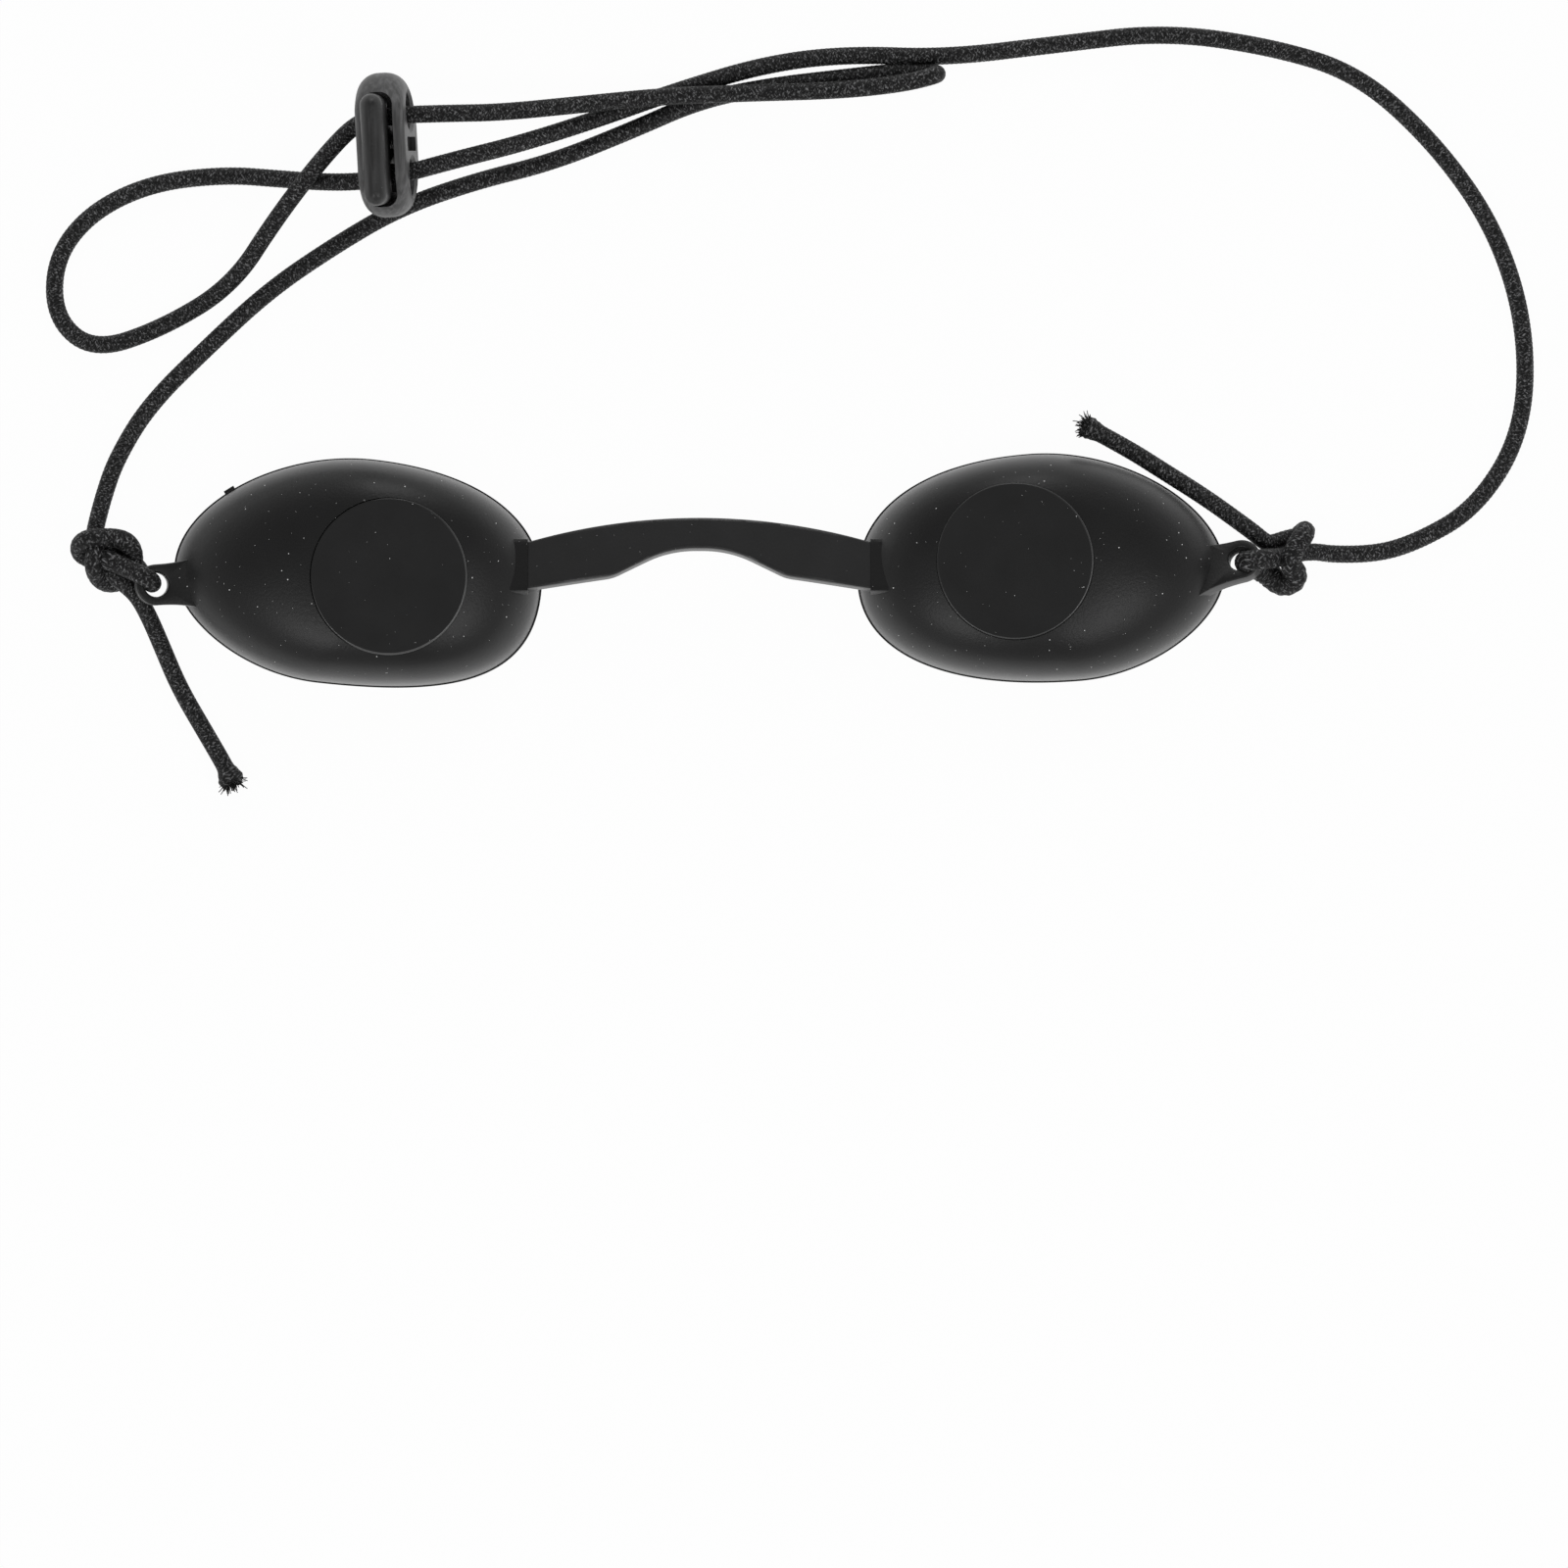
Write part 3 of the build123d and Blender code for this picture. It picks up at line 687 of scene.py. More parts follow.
def braided(name):
    """Braided elastic: dark strands that take turns on top, each with painted glints of its glossy threads along it.
    """
    finish = Finish(name)
    around, along, _ = finish.parts(finish.along())
    one = around + along
    two = around - along
    on_top = (one * math.pi).cosine() * (two * math.pi).cosine() > 0.0
    families = []
    for across, onward, apart in ((two, one, 5.0), (one, two, 0.0)):
        lie = {"X": across * threads_across, "Y": onward * threads_along, "Z": apart}
        families.append(finish.noise(finish.node("ShaderNodeCombineXYZ", {}, lie), 1.0, 3.0))
    threads = finish.mix(on_top, *families)
    # painted glints: the threads' ramp makes them light on the dark strands
    lit = finish.ramp(threads, thread_glint_stops)
    finish.surface(Base_Color=finish.mix(lit, grey(*strand_grey), grey(*thread_glint_grey)))
    finish.surface(Roughness=0.62, Specular_IOR_Level=0.25, Sheen_Weight=0.01, Sheen_Roughness=0.5)
    finish.surface(Normal=finish.bump(threads, 0.00006))
    return finish.material


def spring_steel(name):
    """Drawn wire: bright, with fine streaks."""
    finish = Finish(name)
    streaks = finish.noise(finish.scaled(finish.place(), wire_draw), wire_scale)
    finish.surface(Base_Color=finish.mix(streaks, *map(grey, wire_greys)), Metallic=1.0)
    finish.surface(Roughness=0.24 + streaks * 0.14)
    return finish.material


# Geometry

def turn(x=0.0, y=0.0, z=0.0):
    """The matrix of a turn of z degrees about Z, then y about Y, then x about X."""
    cx, cy, cz = (math.cos(math.radians(angle)) for angle in (x, y, z))
    sx, sy, sz = (math.sin(math.radians(angle)) for angle in (x, y, z))
    about_x = np.array([[1, 0, 0], [0, cx, -sx], [0, sx, cx]])
    about_y = np.array([[cy, 0, sy], [0, 1, 0], [-sy, 0, cy]])
    about_z = np.array([[cz, -sz, 0], [sz, cz, 0], [0, 0, 1]])
    return about_x @ about_y @ about_z


def stack(*values):
    return np.stack(np.broadcast_arrays(*values), axis=-1)


def skin(name, rings, finish, closed=False, skin_map=None, crease=30.0):
    """A surface through rings of points, each ring closed. Open ends are closed by a fan to their middle.

    The array's axes are the rings, the points of a ring, and x, y and z. Face (i, j) joins points j and j + 1
    of rings i and i + 1. The faces are turned round if the volume that they enclose comes out negative.
    """
    count, around = rings.shape[:2]
    spans = count if closed else count - 1
    i, j = np.meshgrid(np.arange(spans), np.arange(around), indexing="ij")
    here = i * around
    there = (i + 1) % count * around
    onward = (j + 1) % around
    quads = np.stack([here + j, here + onward, there + onward, there + j], -1).reshape(-1, 4)
    points = rings.reshape(-1, 3)
    fans = np.zeros((0, 3), int)
    if not closed:
        column = np.arange(around)
        after = (column + 1) % around
        last = (count - 1) * around
        first_middle = np.full(around, len(points))
        last_middle = first_middle + 1
        fans = np.concatenate([
            np.stack([after, column, first_middle], -1),
            np.stack([last + column, last + after, last_middle], -1),
        ])
        points = np.concatenate([points, [rings[0].mean(0)], [rings[-1].mean(0)]])
    triangles = np.concatenate([quads[:, [0, 1, 2]], quads[:, [0, 2, 3]], fans])
    a, b, c = (points[triangles[:, k]] for k in range(3))
    outward = np.einsum("ij,ij->", a, np.cross(b, c)) > 0
    coordinates = None
    if skin_map is not None:
        ring_place, lap = skin_map
        up = np.stack([ring_place[i], ring_place[i], ring_place[i + 1], ring_place[i + 1]], -1).reshape(-1, 4)
        side = lap * np.stack([j, j + 1, j + 1, j], -1).reshape(-1, 4) / around
        coordinates = np.stack([side, up], -1)
    if not outward:
        quads, fans = quads[:, ::-1], fans[:, ::-1]
        coordinates = None if coordinates is None else coordinates[:, ::-1]
    mesh = bpy.data.meshes.new(name)
    corners = np.concatenate([quads.ravel(), fans.ravel()])
    starts = np.concatenate([np.arange(len(quads)) * 4, len(quads) * 4 + np.arange(len(fans)) * 3])
    mesh.vertices.add(len(points))
    mesh.vertices.foreach_set("co", points.astype(np.float32).ravel())
    mesh.loops.add(len(corners))
    mesh.loops.foreach_set("vertex_index", corners.astype(np.int32))
    mesh.polygons.add(len(starts))
    mesh.polygons.foreach_set("loop_start", starts.astype(np.int32))
    mesh.update(calc_edges=True)
    if coordinates is not None:
        layer = mesh.uv_layers.new(name="skin")
        flat = np.concatenate([coordinates.reshape(-1, 2), np.zeros((len(fans) * 3, 2))])
        layer.data.foreach_set("uv", flat.astype(np.float32).ravel())
    mesh.shade_smooth()
    mesh.set_sharp_from_angle(angle=math.radians(crease))
    mesh.materials.append(finish)
    piece = bpy.data.objects.new(name, mesh)
    bpy.context.scene.collection.objects.link(piece)
    return piece


def combined(piece, tool, operation, crease=30.0):
    """Adds a tool's solid to a piece or cuts it away, and keeps the result as the piece's own mesh."""
    change = piece.modifiers.new(operation, "BOOLEAN")
    change.operation = operation
    change.solver = "EXACT"
    change.object = tool
    bpy.context.view_layer.update()
    evaluated = piece.evaluated_get(bpy.context.evaluated_depsgraph_get())
    mesh = bpy.data.meshes.new_from_object(evaluated)
    piece.modifiers.clear()
    flat = bmesh.new()
    flat.from_mesh(mesh)
    bmesh.ops.remove_doubles(flat, verts=flat.verts, dist=merge_distance)
    bmesh.ops.triangulate(flat, faces=flat.faces)
    flat.to_mesh(mesh)
    flat.free()
    piece.data = mesh
    mesh.shade_smooth()
    mesh.set_sharp_from_angle(angle=math.radians(crease))
    bpy.data.objects.remove(tool)
    return piece


def joined(pieces, name):
    """Several pieces as one mesh."""
    with bpy.context.temp_override(active_object=pieces[0], selected_editable_objects=pieces):
        bpy.ops.object.join()
    pieces[0].name = name
    pieces[0].data.name = name
    return pieces[0]


def rounded_line(corners, radii, steps=12):
    """A line through corners in the plane, with an arc in place of each inner corner."""
    corners = np.array(corners, float)
    line = [corners[:1]]
    for before, corner, after, radius in zip(corners, corners[1:], corners[2:], radii):
        arrive = (corner - before) / np.linalg.norm(corner - before)
        leave = (after - corner) / np.linalg.norm(after - corner)
        angle = math.acos(np.clip(arrive @ leave, -1.0, 1.0))
        side = np.sign(arrive[0] * leave[1] - arrive[1] * leave[0])
        normal = side * np.array([-arrive[1], arrive[0]])
        start = corner - arrive * radius * math.tan(angle / 2)
        sweep = np.linspace(0.0, angle, steps)[:, None]
        line.append(start + radius * (arrive * np.sin(sweep) + normal * (1 - np.cos(sweep))))
    line.append(corners[-1:])
    return np.concatenate(line)


def rounded_plan(length, width, radius, columns):
    """A rectangle's outline with round corners, about its middle. The points are evenly spaced round it."""
    radius = np.minimum(radius, np.minimum(length, width) / 2 * 0.999)
    straight_x, straight_y = length / 2 - radius, width / 2 - radius
    quarter = math.pi / 2 * radius
    pieces = np.array([
        straight_y, quarter, 2 * straight_x, quarter, 2 * straight_y, quarter, 2 * straight_x, quarter,
        straight_y,
    ])
    ends = np.cumsum(pieces)
    at = np.linspace(0.0, ends[-1], columns, endpoint=False)
    stations = np.concatenate([[0.0], ends])
    sector = np.searchsorted(ends, at, side="right")
    part = (at - stations[sector]) / np.maximum(pieces[sector], 1e-12)
    side = sector // 2 % 4
    arc = sector % 2 == 1
    corner_x = np.array([1, -1, -1, 1])[side] * straight_x
    corner_y = np.array([1, 1, -1, -1])[side] * straight_y
    angle = math.pi / 2 * (side + part)
    x = corner_x + radius * np.cos(angle)
    y = corner_y + radius * np.sin(angle)
    run = part * 2 - 1
    first = np.where(sector == 0, part, np.where(sector == 8, part - 1, run))
    flat_x = np.array([1, 0, -1, 0])[side] * length / 2 + np.array([0, -1, 0, 1])[side] * first * straight_x
    flat_y = np.array([0, 1, 0, -1])[side] * width / 2 + np.array([1, 0, -1, 0])[side] * first * straight_y
    return np.where(arc, x, flat_x), np.where(arc, y, flat_y)


def sides():
    """What differs between the two cups. Both are drawn on the left and the right one is mirrored."""
    left = {
        "name": "left", "mirror": 1, "turn": 6.4, "rise": 0.0, "ear_drop": 0.002, "ear_reach": 0.0002,
        "ear_heading": 4.0, "ear_roll": 0.0, "window": (0.0046, -0.0005),
        "brow": cup_brow, "cheek_handle_share": 0.8, "gate": True,
    }
    right = {
        "name": "right", "mirror": -1, "turn": 4.4, "rise": 0.0004, "ear_drop": -0.00115, "ear_reach": 0.0,
        "ear_heading": -10.0, "ear_roll": -20.0, "window": (0.00365, 0.0009),
        "brow": cup_brow + 0.0003, "cheek_handle_share": nose_handle_share, "gate": False,
    }
    return left, right


def mirrored(side, points):
    return points * np.array([side["mirror"], 1, 1])


def in_cup(side, points):
    """Points of a cup's own frame, set in the goggles."""
    placed = points @ turn(z=-side["turn"]).T + np.array([-cup_spacing / 2, side["rise"], 0.0])
    return mirrored(side, placed)


def bezier(part, start, first, second, end):
    """A cubic Bezier curve's place at a share of the way along it."""
    rest = 1 - part
    return rest ** 3 * start + 3 * rest ** 2 * part * first + 3 * rest * part ** 2 * second + part ** 3 * end


def cup_outline(side, share, inset):
    """The cup's outline at a share of its height, drawn in from the rim by an inset.

    It is four Bezier quarters. Each starts at the nose or outer end, square to the length, and ends at the
    brow or cheek side, along it. The length shrinks with the share s as (1 - s^2.2)^(1/2.2), the width as
    (1 - s^3.6)^(1/3.6), and the whole leans to the nose with the share's square.
    """
    lap = np.arange(cup_columns) / cup_columns * 4
    quarter = lap.astype(int)
    part = lap - quarter
    at_nose = (quarter == 0) | (quarter == 3)
    at_brow = quarter < 2
    reach = np.where(quarter % 2 == 0, part, 1 - part)
    along = (1 - share ** along_power) ** (1 / along_power)
    across = (1 - share ** across_power) ** (1 / across_power)
    lean = crown_lean * share ** 2
    half = (cup_length / 2 - inset) * along
    end_x = lean + np.where(at_nose, half, -half)
    end_y = np.where(at_nose, nose_point_share, outer_point_share) * side["brow"] * across
    side_share = np.where(at_brow, brow_point_share, cheek_point_share / 2)
    side_x = lean + side_share * cup_length * along
    side_y = np.where(at_brow, side["brow"] - inset, inset - cup_cheek) * across
    handle = np.where(at_nose, nose_handle_share, outer_handle_share)
    end_handle = np.where(quarter == 3, side["cheek_handle_share"], handle)
    first_y = end_y + end_handle * (side_y - end_y)
    second_x = side_x + handle * (end_x - side_x)
    return bezier(reach, end_x, end_x, second_x, side_x), bezier(reach, end_y, first_y, side_y, side_y)


def window_frame(side):
    """The window's middle on its outer face, and its own X, Y and outward directions, in the cup's frame."""
    inward, rise = side["window"]
    return np.array([inward, rise, cup_depth - window_drop]), turn(y=window_tilt).T


def meeting_share(side, radius, inset, depth):
    """The height share, column by column, at which the dome meets the window's cylinder, by bisection."""
    middle, axes = window_frame(side)
    low, high = np.zeros(cup_columns), np.full(cup_columns, meeting_top_share)
    for _ in range(meeting_rounds):
        share = (low + high) / 2
        x, y = cup_outline(side, share, inset)
        offset = (stack(x, y, share * depth) - middle) @ axes.T
        outside = np.hypot(offset[..., 0], offset[..., 1]) > radius
        low, high = np.where(outside, share, low), np.where(outside, high, share)
    return share


def dome_rings(side, radius, inset, depth, start_share, count):
    """A dome's rings up to the window's cylinder, even in the angle whose sine is the height share."""
    top = np.arcsin(meeting_share(side, radius, inset, depth))
    bottom = math.asin(start_share)
    climb = np.linspace(0.0, 1.0, count)[:, None]
    share = np.sin(bottom + (top - bottom) * climb)
    x, y = cup_outline(side, share, inset)
    return stack(x, y, share * depth)


def window_ring(side, directions, radius, height):
    """A circle about the window's axis, with one point in each of the given directions."""
    middle, axes = window_frame(side)
    return middle + stack(radius * directions[:, 0], radius * directions[:, 1], height) @ axes


def directions_of(side, ring):
    """Where a ring's points lie round the window's axis, as unit directions."""
    middle, axes = window_frame(side)
    local = ((ring - middle) @ axes.T)[:, :2]
    return local / np.linalg.norm(local, axis=1, keepdims=True)


def rim_ring(side, inset, height):
    x, y = cup_outline(side, 0.0, inset)
    return stack(x, y, height)


def rounded_edge(radius, steps):
    """A quarter round from a face to a side: its distances in from the side, and down from the face."""
    turns = np.linspace(0.0, math.pi / 2, steps)
    return radius * (1 - np.sin(turns)), radius * (1 - np.cos(turns))


def cup_shell(side, finish):
    """The cup as one closed skin: over the dome to the window's seat, down the seat and its ledge, and back
    down the hollow to the mouth and round the rim's flange."""
    seat = window_radius + window_fit
    room = window_radius + seat_wall
    hollow_inset = rim_width + cup_wall
    outside = dome_rings(side, seat, rim_width, cup_depth, rim_height / cup_depth, cup_rings)
    hollow = dome_rings(side, room, hollow_inset, cup_depth - cup_wall, hollow_start_share, cup_rings // 2)
    toward = directions_of(side, outside[-1])
    inner_toward = directions_of(side, hollow[-1])
    light = window_radius - window_ledge
    under = window_thickness + window_ledge_depth
    ledge = [
        window_ring(side, toward, seat, -window_thickness),
        window_ring(side, toward, light + seat_edge, -window_thickness),
        window_ring(side, toward, light, -window_thickness - seat_edge),
        window_ring(side, inner_toward, light, -under + seat_edge),
        window_ring(side, inner_toward, light + seat_edge, -under),
        window_ring(side, inner_toward, room - seat_edge, -under),
        window_ring(side, inner_toward, room, -under + seat_edge),
    ]
    middle, axes = window_frame(side)
    lip_height = ((outside[-1] - middle) @ axes.T)[:, 2] - 2 * seat_edge
    lip = window_ring(side, toward, seat, lip_height)
    flange = [rim_ring(side, rim_width - seat_edge, rim_height)]
    across, down = rounded_edge(rim_rounding, rounding_steps)
    flange += [rim_ring(side, a, rim_height - d) for a, d in zip(across, down)]
    flange += [rim_ring(side, d, a) for a, d in zip(across, down)]
    flange.append(rim_ring(side, hollow_inset - seat_edge, 0.0))
    loops = np.concatenate([outside, lip[None], np.array(ledge), hollow[::-1], np.array(flange[::-1])])
    return skin(side["name"] + "_cup", in_cup(side, loops), finish, closed=True)


def flat_ring(inner, outer, thickness, rounding):
    """A flat plate between two closed curves, as rings round its section, with its four edges rounded."""
    away = outer - inner
    away /= np.linalg.norm(away, axis=1, keepdims=True)
    down, back = rounded_edge(rounding, rounding_steps)
    up = thickness / 2 - down
    section = [(inner + away * b, u) for b, u in zip(back, up)]
    section += [(outer - away * b, u) for b, u in zip(back[::-1], up[::-1])]
    section += [(outer - away * b, -u) for b, u in zip(back, up)]
    section += [(inner + away * b, -u) for b, u in zip(back[::-1], up[::-1])]
    return np.array([stack(flat[:, 0], flat[:, 1], height) for flat, height in section])


def ear_outline():
    """The ear's plate seen flat: a half circle round the hole, then sides that flare as reach^2.5."""
    half = ear_width / 2
    angle = np.radians(np.linspace(90.0, 270.0, ear_round_points))
    reach = np.linspace(0.0, 1.0, ear_flank_points)[1:]
    flank = half + ear_flare * reach ** ear_flare_power
    root = np.linspace(-1.0, 1.0, ear_root_points)[1:-1] * flank[-1]
    end = np.full(len(root), ear_root)
    x = np.concatenate([half * np.cos(angle), ear_root * reach, end, ear_root * reach[::-1]])
    y = np.concatenate([half * np.sin(angle), -flank, root, flank[::-1]])
    return stack(x, y)


def ear_frame(side):
    reach = (cup_spacing + cup_length) / 2 + ear_overhang + side["ear_reach"]
    middle = np.array([-reach, -side["ear_drop"], ear_height])
    return middle, turn(side["ear_roll"], ear_climb, side["ear_heading"])


def ear(side, finish):
    outer = ear_outline()
    inner = ear_hole_radius * outer / np.linalg.norm(outer, axis=1, keepdims=True)
    middle, tilt = ear_frame(side)
    rings = flat_ring(inner, outer, ear_thickness, ear_rounding) @ tilt.T + middle
    return skin(side["name"] + "_ear", mirrored(side, rings), finish, closed=True)


def hollow_solid(side):
    """The room inside the cup as a solid, to trim what is added to the wall."""
    share = np.sin(np.linspace(0.0, math.pi / 2 * trim_top_share, trim_rings))[:, None]
    x, y = cup_outline(side, share, rim_width + cup_wall)
    rings = stack(x, y, share * (cup_depth - cup_wall))
    below = rings[:1] - np.array([0.0, 0.0, cup_wall])
    return skin("hollow", in_cup(side, np.concatenate([below, rings])), None)


def on_bridge(points):
    return points @ turn(x=-bridge_tilt).T + np.array([0.0, bridge_rise, bridge_height])


def block(low, high, rounding):
    """A block with rounded edges along X: a rounded rectangle in Y and Z, carried from end to end."""
    y, z = rounded_plan(high[1] - low[1], high[2] - low[2], rounding, block_columns)
    y, z = y + (low[1] + high[1]) / 2, z + (low[2] + high[2]) / 2
    return np.array([stack(x, y, z) for x in (low[0], high[0])])


def bridge_end(side, name, finish, reach, brim, step, rounding):
    """A block at the strap's end, wider than it by a brim and thicker by a step on each side."""
    wide = bridge_end_width / 2 + brim
    thick = bridge_thickness / 2 + step
    rings = on_bridge(block((reach[0], -wide, -thick), (reach[1], wide, thick), rounding))
    return skin(name, mirrored(side, rings), finish)


def bridge_socket(side, finish):
    """The boss in the cup's nose end that the bridge's end is keyed into."""
    reach = (-bridge_length / 2 - boss_depth, -bridge_length / 2)
    return bridge_end(side, side["name"] + "_boss", finish, reach, boss_brim, boss_step, boss_rounding)


def bridge_notch(side):
    reach = (-bridge_length / 2, 0.0)
    return bridge_end(side, "notch", None, reach, bridge_clearance, bridge_clearance, bridge_edge)


def gate_nib(side, finish):
    """A small block across the rim, a share of the way from the outer end to the brow side."""
    ring = rim_ring(side, 0.0, 0.0)
    column = round((2 - gate_share) / 4 * cup_columns)
    along = ring[column + 1] - ring[column - 1]
    half = gate_length / 2
    nib = block((-half, -gate_height / 2, 0.0), (half, gate_height / 2, gate_height), gate_rounding)
    nib = nib @ turn(z=math.degrees(math.atan2(along[1], along[0]))).T + ring[column]
    return skin("gate_nib", in_cup(side, nib), finish)


def dressed(piece, node, slot, body=None):
    """Says what a piece stands for, its finish's slot and the body that it rides on."""
    if body:
        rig.ride(piece, body)
    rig.replaces(piece, node)
    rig.slot(piece, slot)
    return piece


def bends_between(piece, reach):
    """A piece that bends from the left cup's body to the right one's, within a reach of the middle."""
    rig.blend(piece, "left_side", "right_side", start=(-reach, 0.0, 0.0), end=(reach, 0.0, 0.0))


def eye_cup(side, finish):
    cup = cup_shell(side, finish)
    additions = [ear(side, finish), bridge_socket(side, finish)]
    if side["gate"]:
        additions.append(gate_nib(side, finish))
    for addition in additions:
        trimmed = combined(addition, hollow_solid(side), "DIFFERENCE")
        cup = combined(cup, trimmed, "UNION")
    cup = combined(cup, bridge_notch(side), "DIFFERENCE")
    cup.name = side["name"] + "_eye_cup_shell"
    return dressed(cup, side["name"] + "_eye_cup", "eye_cup", side["name"] + "_side")


def window(side, finish):
    """A disc with a small rounded edge in the cup's seat."""
    inset, drop = rounded_edge(window_chamfer, rounding_steps + 1)
    flat = window_radius * np.linspace(*window_face_shares, window_face_rings)
    radii = np.concatenate([flat, window_radius - inset, [window_radius]])
    heights = np.concatenate([0 * flat, -drop, [-window_thickness]])
    angle = np.linspace(0.0, 2 * math.pi, window_columns, endpoint=False)
    toward = stack(np.cos(angle), np.sin(angle))
    rings = np.array([window_ring(side, toward, *place) for place in zip(radii, heights)])
    disc = skin(side["name"] + "_window_disc", in_cup(side, rings), finish)
    return dressed(disc, side["name"] + "_window", "window", side["name"] + "_side")


def arc_height(half, rise, x):
    """The height at x of an arc that stands on a chord from -half to half and rises so far in its middle."""
    radius = (half ** 2 + rise ** 2) / (2 * rise)
    return rise - radius + np.sqrt(radius ** 2 - x ** 2)


def nose_bridge(finish):
    """The strap: at each place along X a rounded rectangle between its brow arc and its arched nose edge,
    raised by the bow, which is an arc over the whole length."""
    half = bridge_length / 2
    edge = bridge_end_width / 2
    knee = (bridge_knee_span / 2, bridge_knee_rise - edge)
    crown = (bridge_arch_span / 2, bridge_arch_rise - edge)
    corners = [(-half, -edge), (-knee[0], knee[1]), (-crown[0], crown[1]), crown, knee, (half, -edge)]
    slope = math.atan2(crown[1] - knee[1], knee[0] - crown[0])
    run = min(math.hypot(knee[0] - crown[0], crown[1] - knee[1]), 2 * crown[0])
    arch_radius = bridge_arch_share * run / math.tan(slope / 2)
    line = rounded_line(corners, [bridge_knee_radius, arch_radius, arch_radius, bridge_knee_radius])
    x = np.linspace(-half, half, bridge_stations)
    low = np.interp(x, line[:, 0], line[:, 1])
    high = edge + arc_height(half, bridge_brow_rise, x)
    lift = arc_height(half, bridge_bow, x)
    rings = []
    for at, bottom, top, up in zip(x, low, high, lift):
        y, z = rounded_plan(top - bottom, bridge_thickness, bridge_edge, bridge_columns)
        rings.append(stack(at, y + (top + bottom) / 2, z + up))
    strap = skin("nose_bridge_strap", on_bridge(np.array(rings)), finish)
    bends_between(strap, bridge_blend)
    return dressed(strap, "nose_bridge", "nose_bridge")


def in_lock(points):
    lean, tip = math.radians(lock_lean), math.radians(lock_tip)
    roll = lock_foot_radius * (1 - math.cos(tip)) + (lock_width / 2 - lock_foot_radius) * math.sin(tip)
    lift = lock_thickness / 2 * math.sin(lean) + roll
    return points @ turn(lock_tip, -lock_lean, lock_turn).T + np.array([lock_x, lock_y, lift])


def lock_section(height, inset=0.0):
    """Half of the lock's width at a height: full in the middle, round at the foot and at the shoulders."""
    foot = np.clip(lock_foot_radius - height, 0.0, None)
    shoulder = np.clip(height - (lock_height - lock_shoulder_radius), 0.0, None)
    half = lock_width / 2 - inset
    half -= lock_foot_radius - np.sqrt(np.clip(lock_foot_radius ** 2 - foot ** 2, 0.0, None))
    half -= lock_shoulder_radius - np.sqrt(np.clip(lock_shoulder_radius ** 2 - shoulder ** 2, 0.0, None))
    return half


def pocket_half(height):
    """Half of the pocket's width at a height: the button's with its fit, drawn in over the round foot."""
    return min(button_width / 2 + button_fit, lock_section(min(height, lock_foot_radius), pocket_wall))


def lock_ring(length, width, radius, columns, height, aside=0.0, down=0.0):
    """A level rounded rectangle in the lock, moved to the left and down its length."""
    x, y = rounded_plan(length, width, radius, columns)
    return stack(x - aside, y - down, height)


def lock_body(finish):
    """An oval loaf on a round foot: rounded rectangles up to its crown, cut by the button's pocket, the two
    cord ways and the port between them."""
    foot = rounded_edge(lock_foot_radius, lock_foot_rings)[1]
    wall = np.linspace(lock_foot_radius, lock_height - lock_shoulder_radius, lock_wall_rings)[1:]
    crown = lock_height - rounded_edge(lock_shoulder_radius, lock_crown_rings)[0][1:]
    rings = []
    for height in np.concatenate([foot, wall, crown]):
        ease = lock_foot_ease * max(0.0, 1 - height / lock_foot_ease) ** 2
        rise = max(0.0, height - lock_height + lock_crown)
        ease += lock_crown - math.sqrt(lock_crown ** 2 - rise ** 2)
        thick = lock_thickness - 2 * ease
        rings.append(lock_ring(thick, 2 * lock_section(height), lock_side_radius, lock_columns, height))
    body = skin("lock_body_shell", in_lock(np.array(rings)), finish)
    thick = button_thickness + 2 * button_fit - pocket_narrowing
    pocket = []
    for height in np.concatenate([[lock_floor], foot[foot > lock_floor], wall, [2 * lock_height]]):
        wide = 2 * pocket_half(height)
        pocket.append(lock_ring(thick, wide, button_crown, lock_columns, height, pocket_aside, pocket_down))
    body = combined(body, skin("pocket", in_lock(np.array(pocket)), finish), "DIFFERENCE")
    for y in lock_hole_places:
        body = combined(body, cord_way(y), "DIFFERENCE")
    port_size = np.array([lock_thickness, lock_port, lock_port_height]) / 2
    for middle in (lock_port_depth - lock_thickness, lock_thickness - lock_port_depth):
        port = block(-port_size, port_size, lock_port_rounding) + np.array([middle, 0.0, lock_hole_height])
        body = combined(body, skin("port", in_lock(port), None), "DIFFERENCE")
    return dressed(body, "lock_body", "cord_lock", "left_side")


def cord_way(y):
    """The cord's hole through the lock: a round bore that opens out a little at both faces."""
    half = lock_thickness / 2
    flare = lock_way_flare
    x = np.array([-2 * half, -half - flare, -half, flare - half, half - flare, half, half + flare, 2 * half])
    radius = lock_hole_radius + np.array([2 * flare, 2 * flare, flare, 0.0, 0.0, flare, 2 * flare, 2 * flare])
    angle = np.linspace(0.0, 2 * math.pi, lock_way_columns, endpoint=False)
    rise = lock_way_stretch * radius[:, None] * np.sin(angle)
    rings = stack(x[:, None], y + radius[:, None] * np.cos(angle), lock_hole_height + rise)
    return skin("cord_way", in_lock(rings), None)


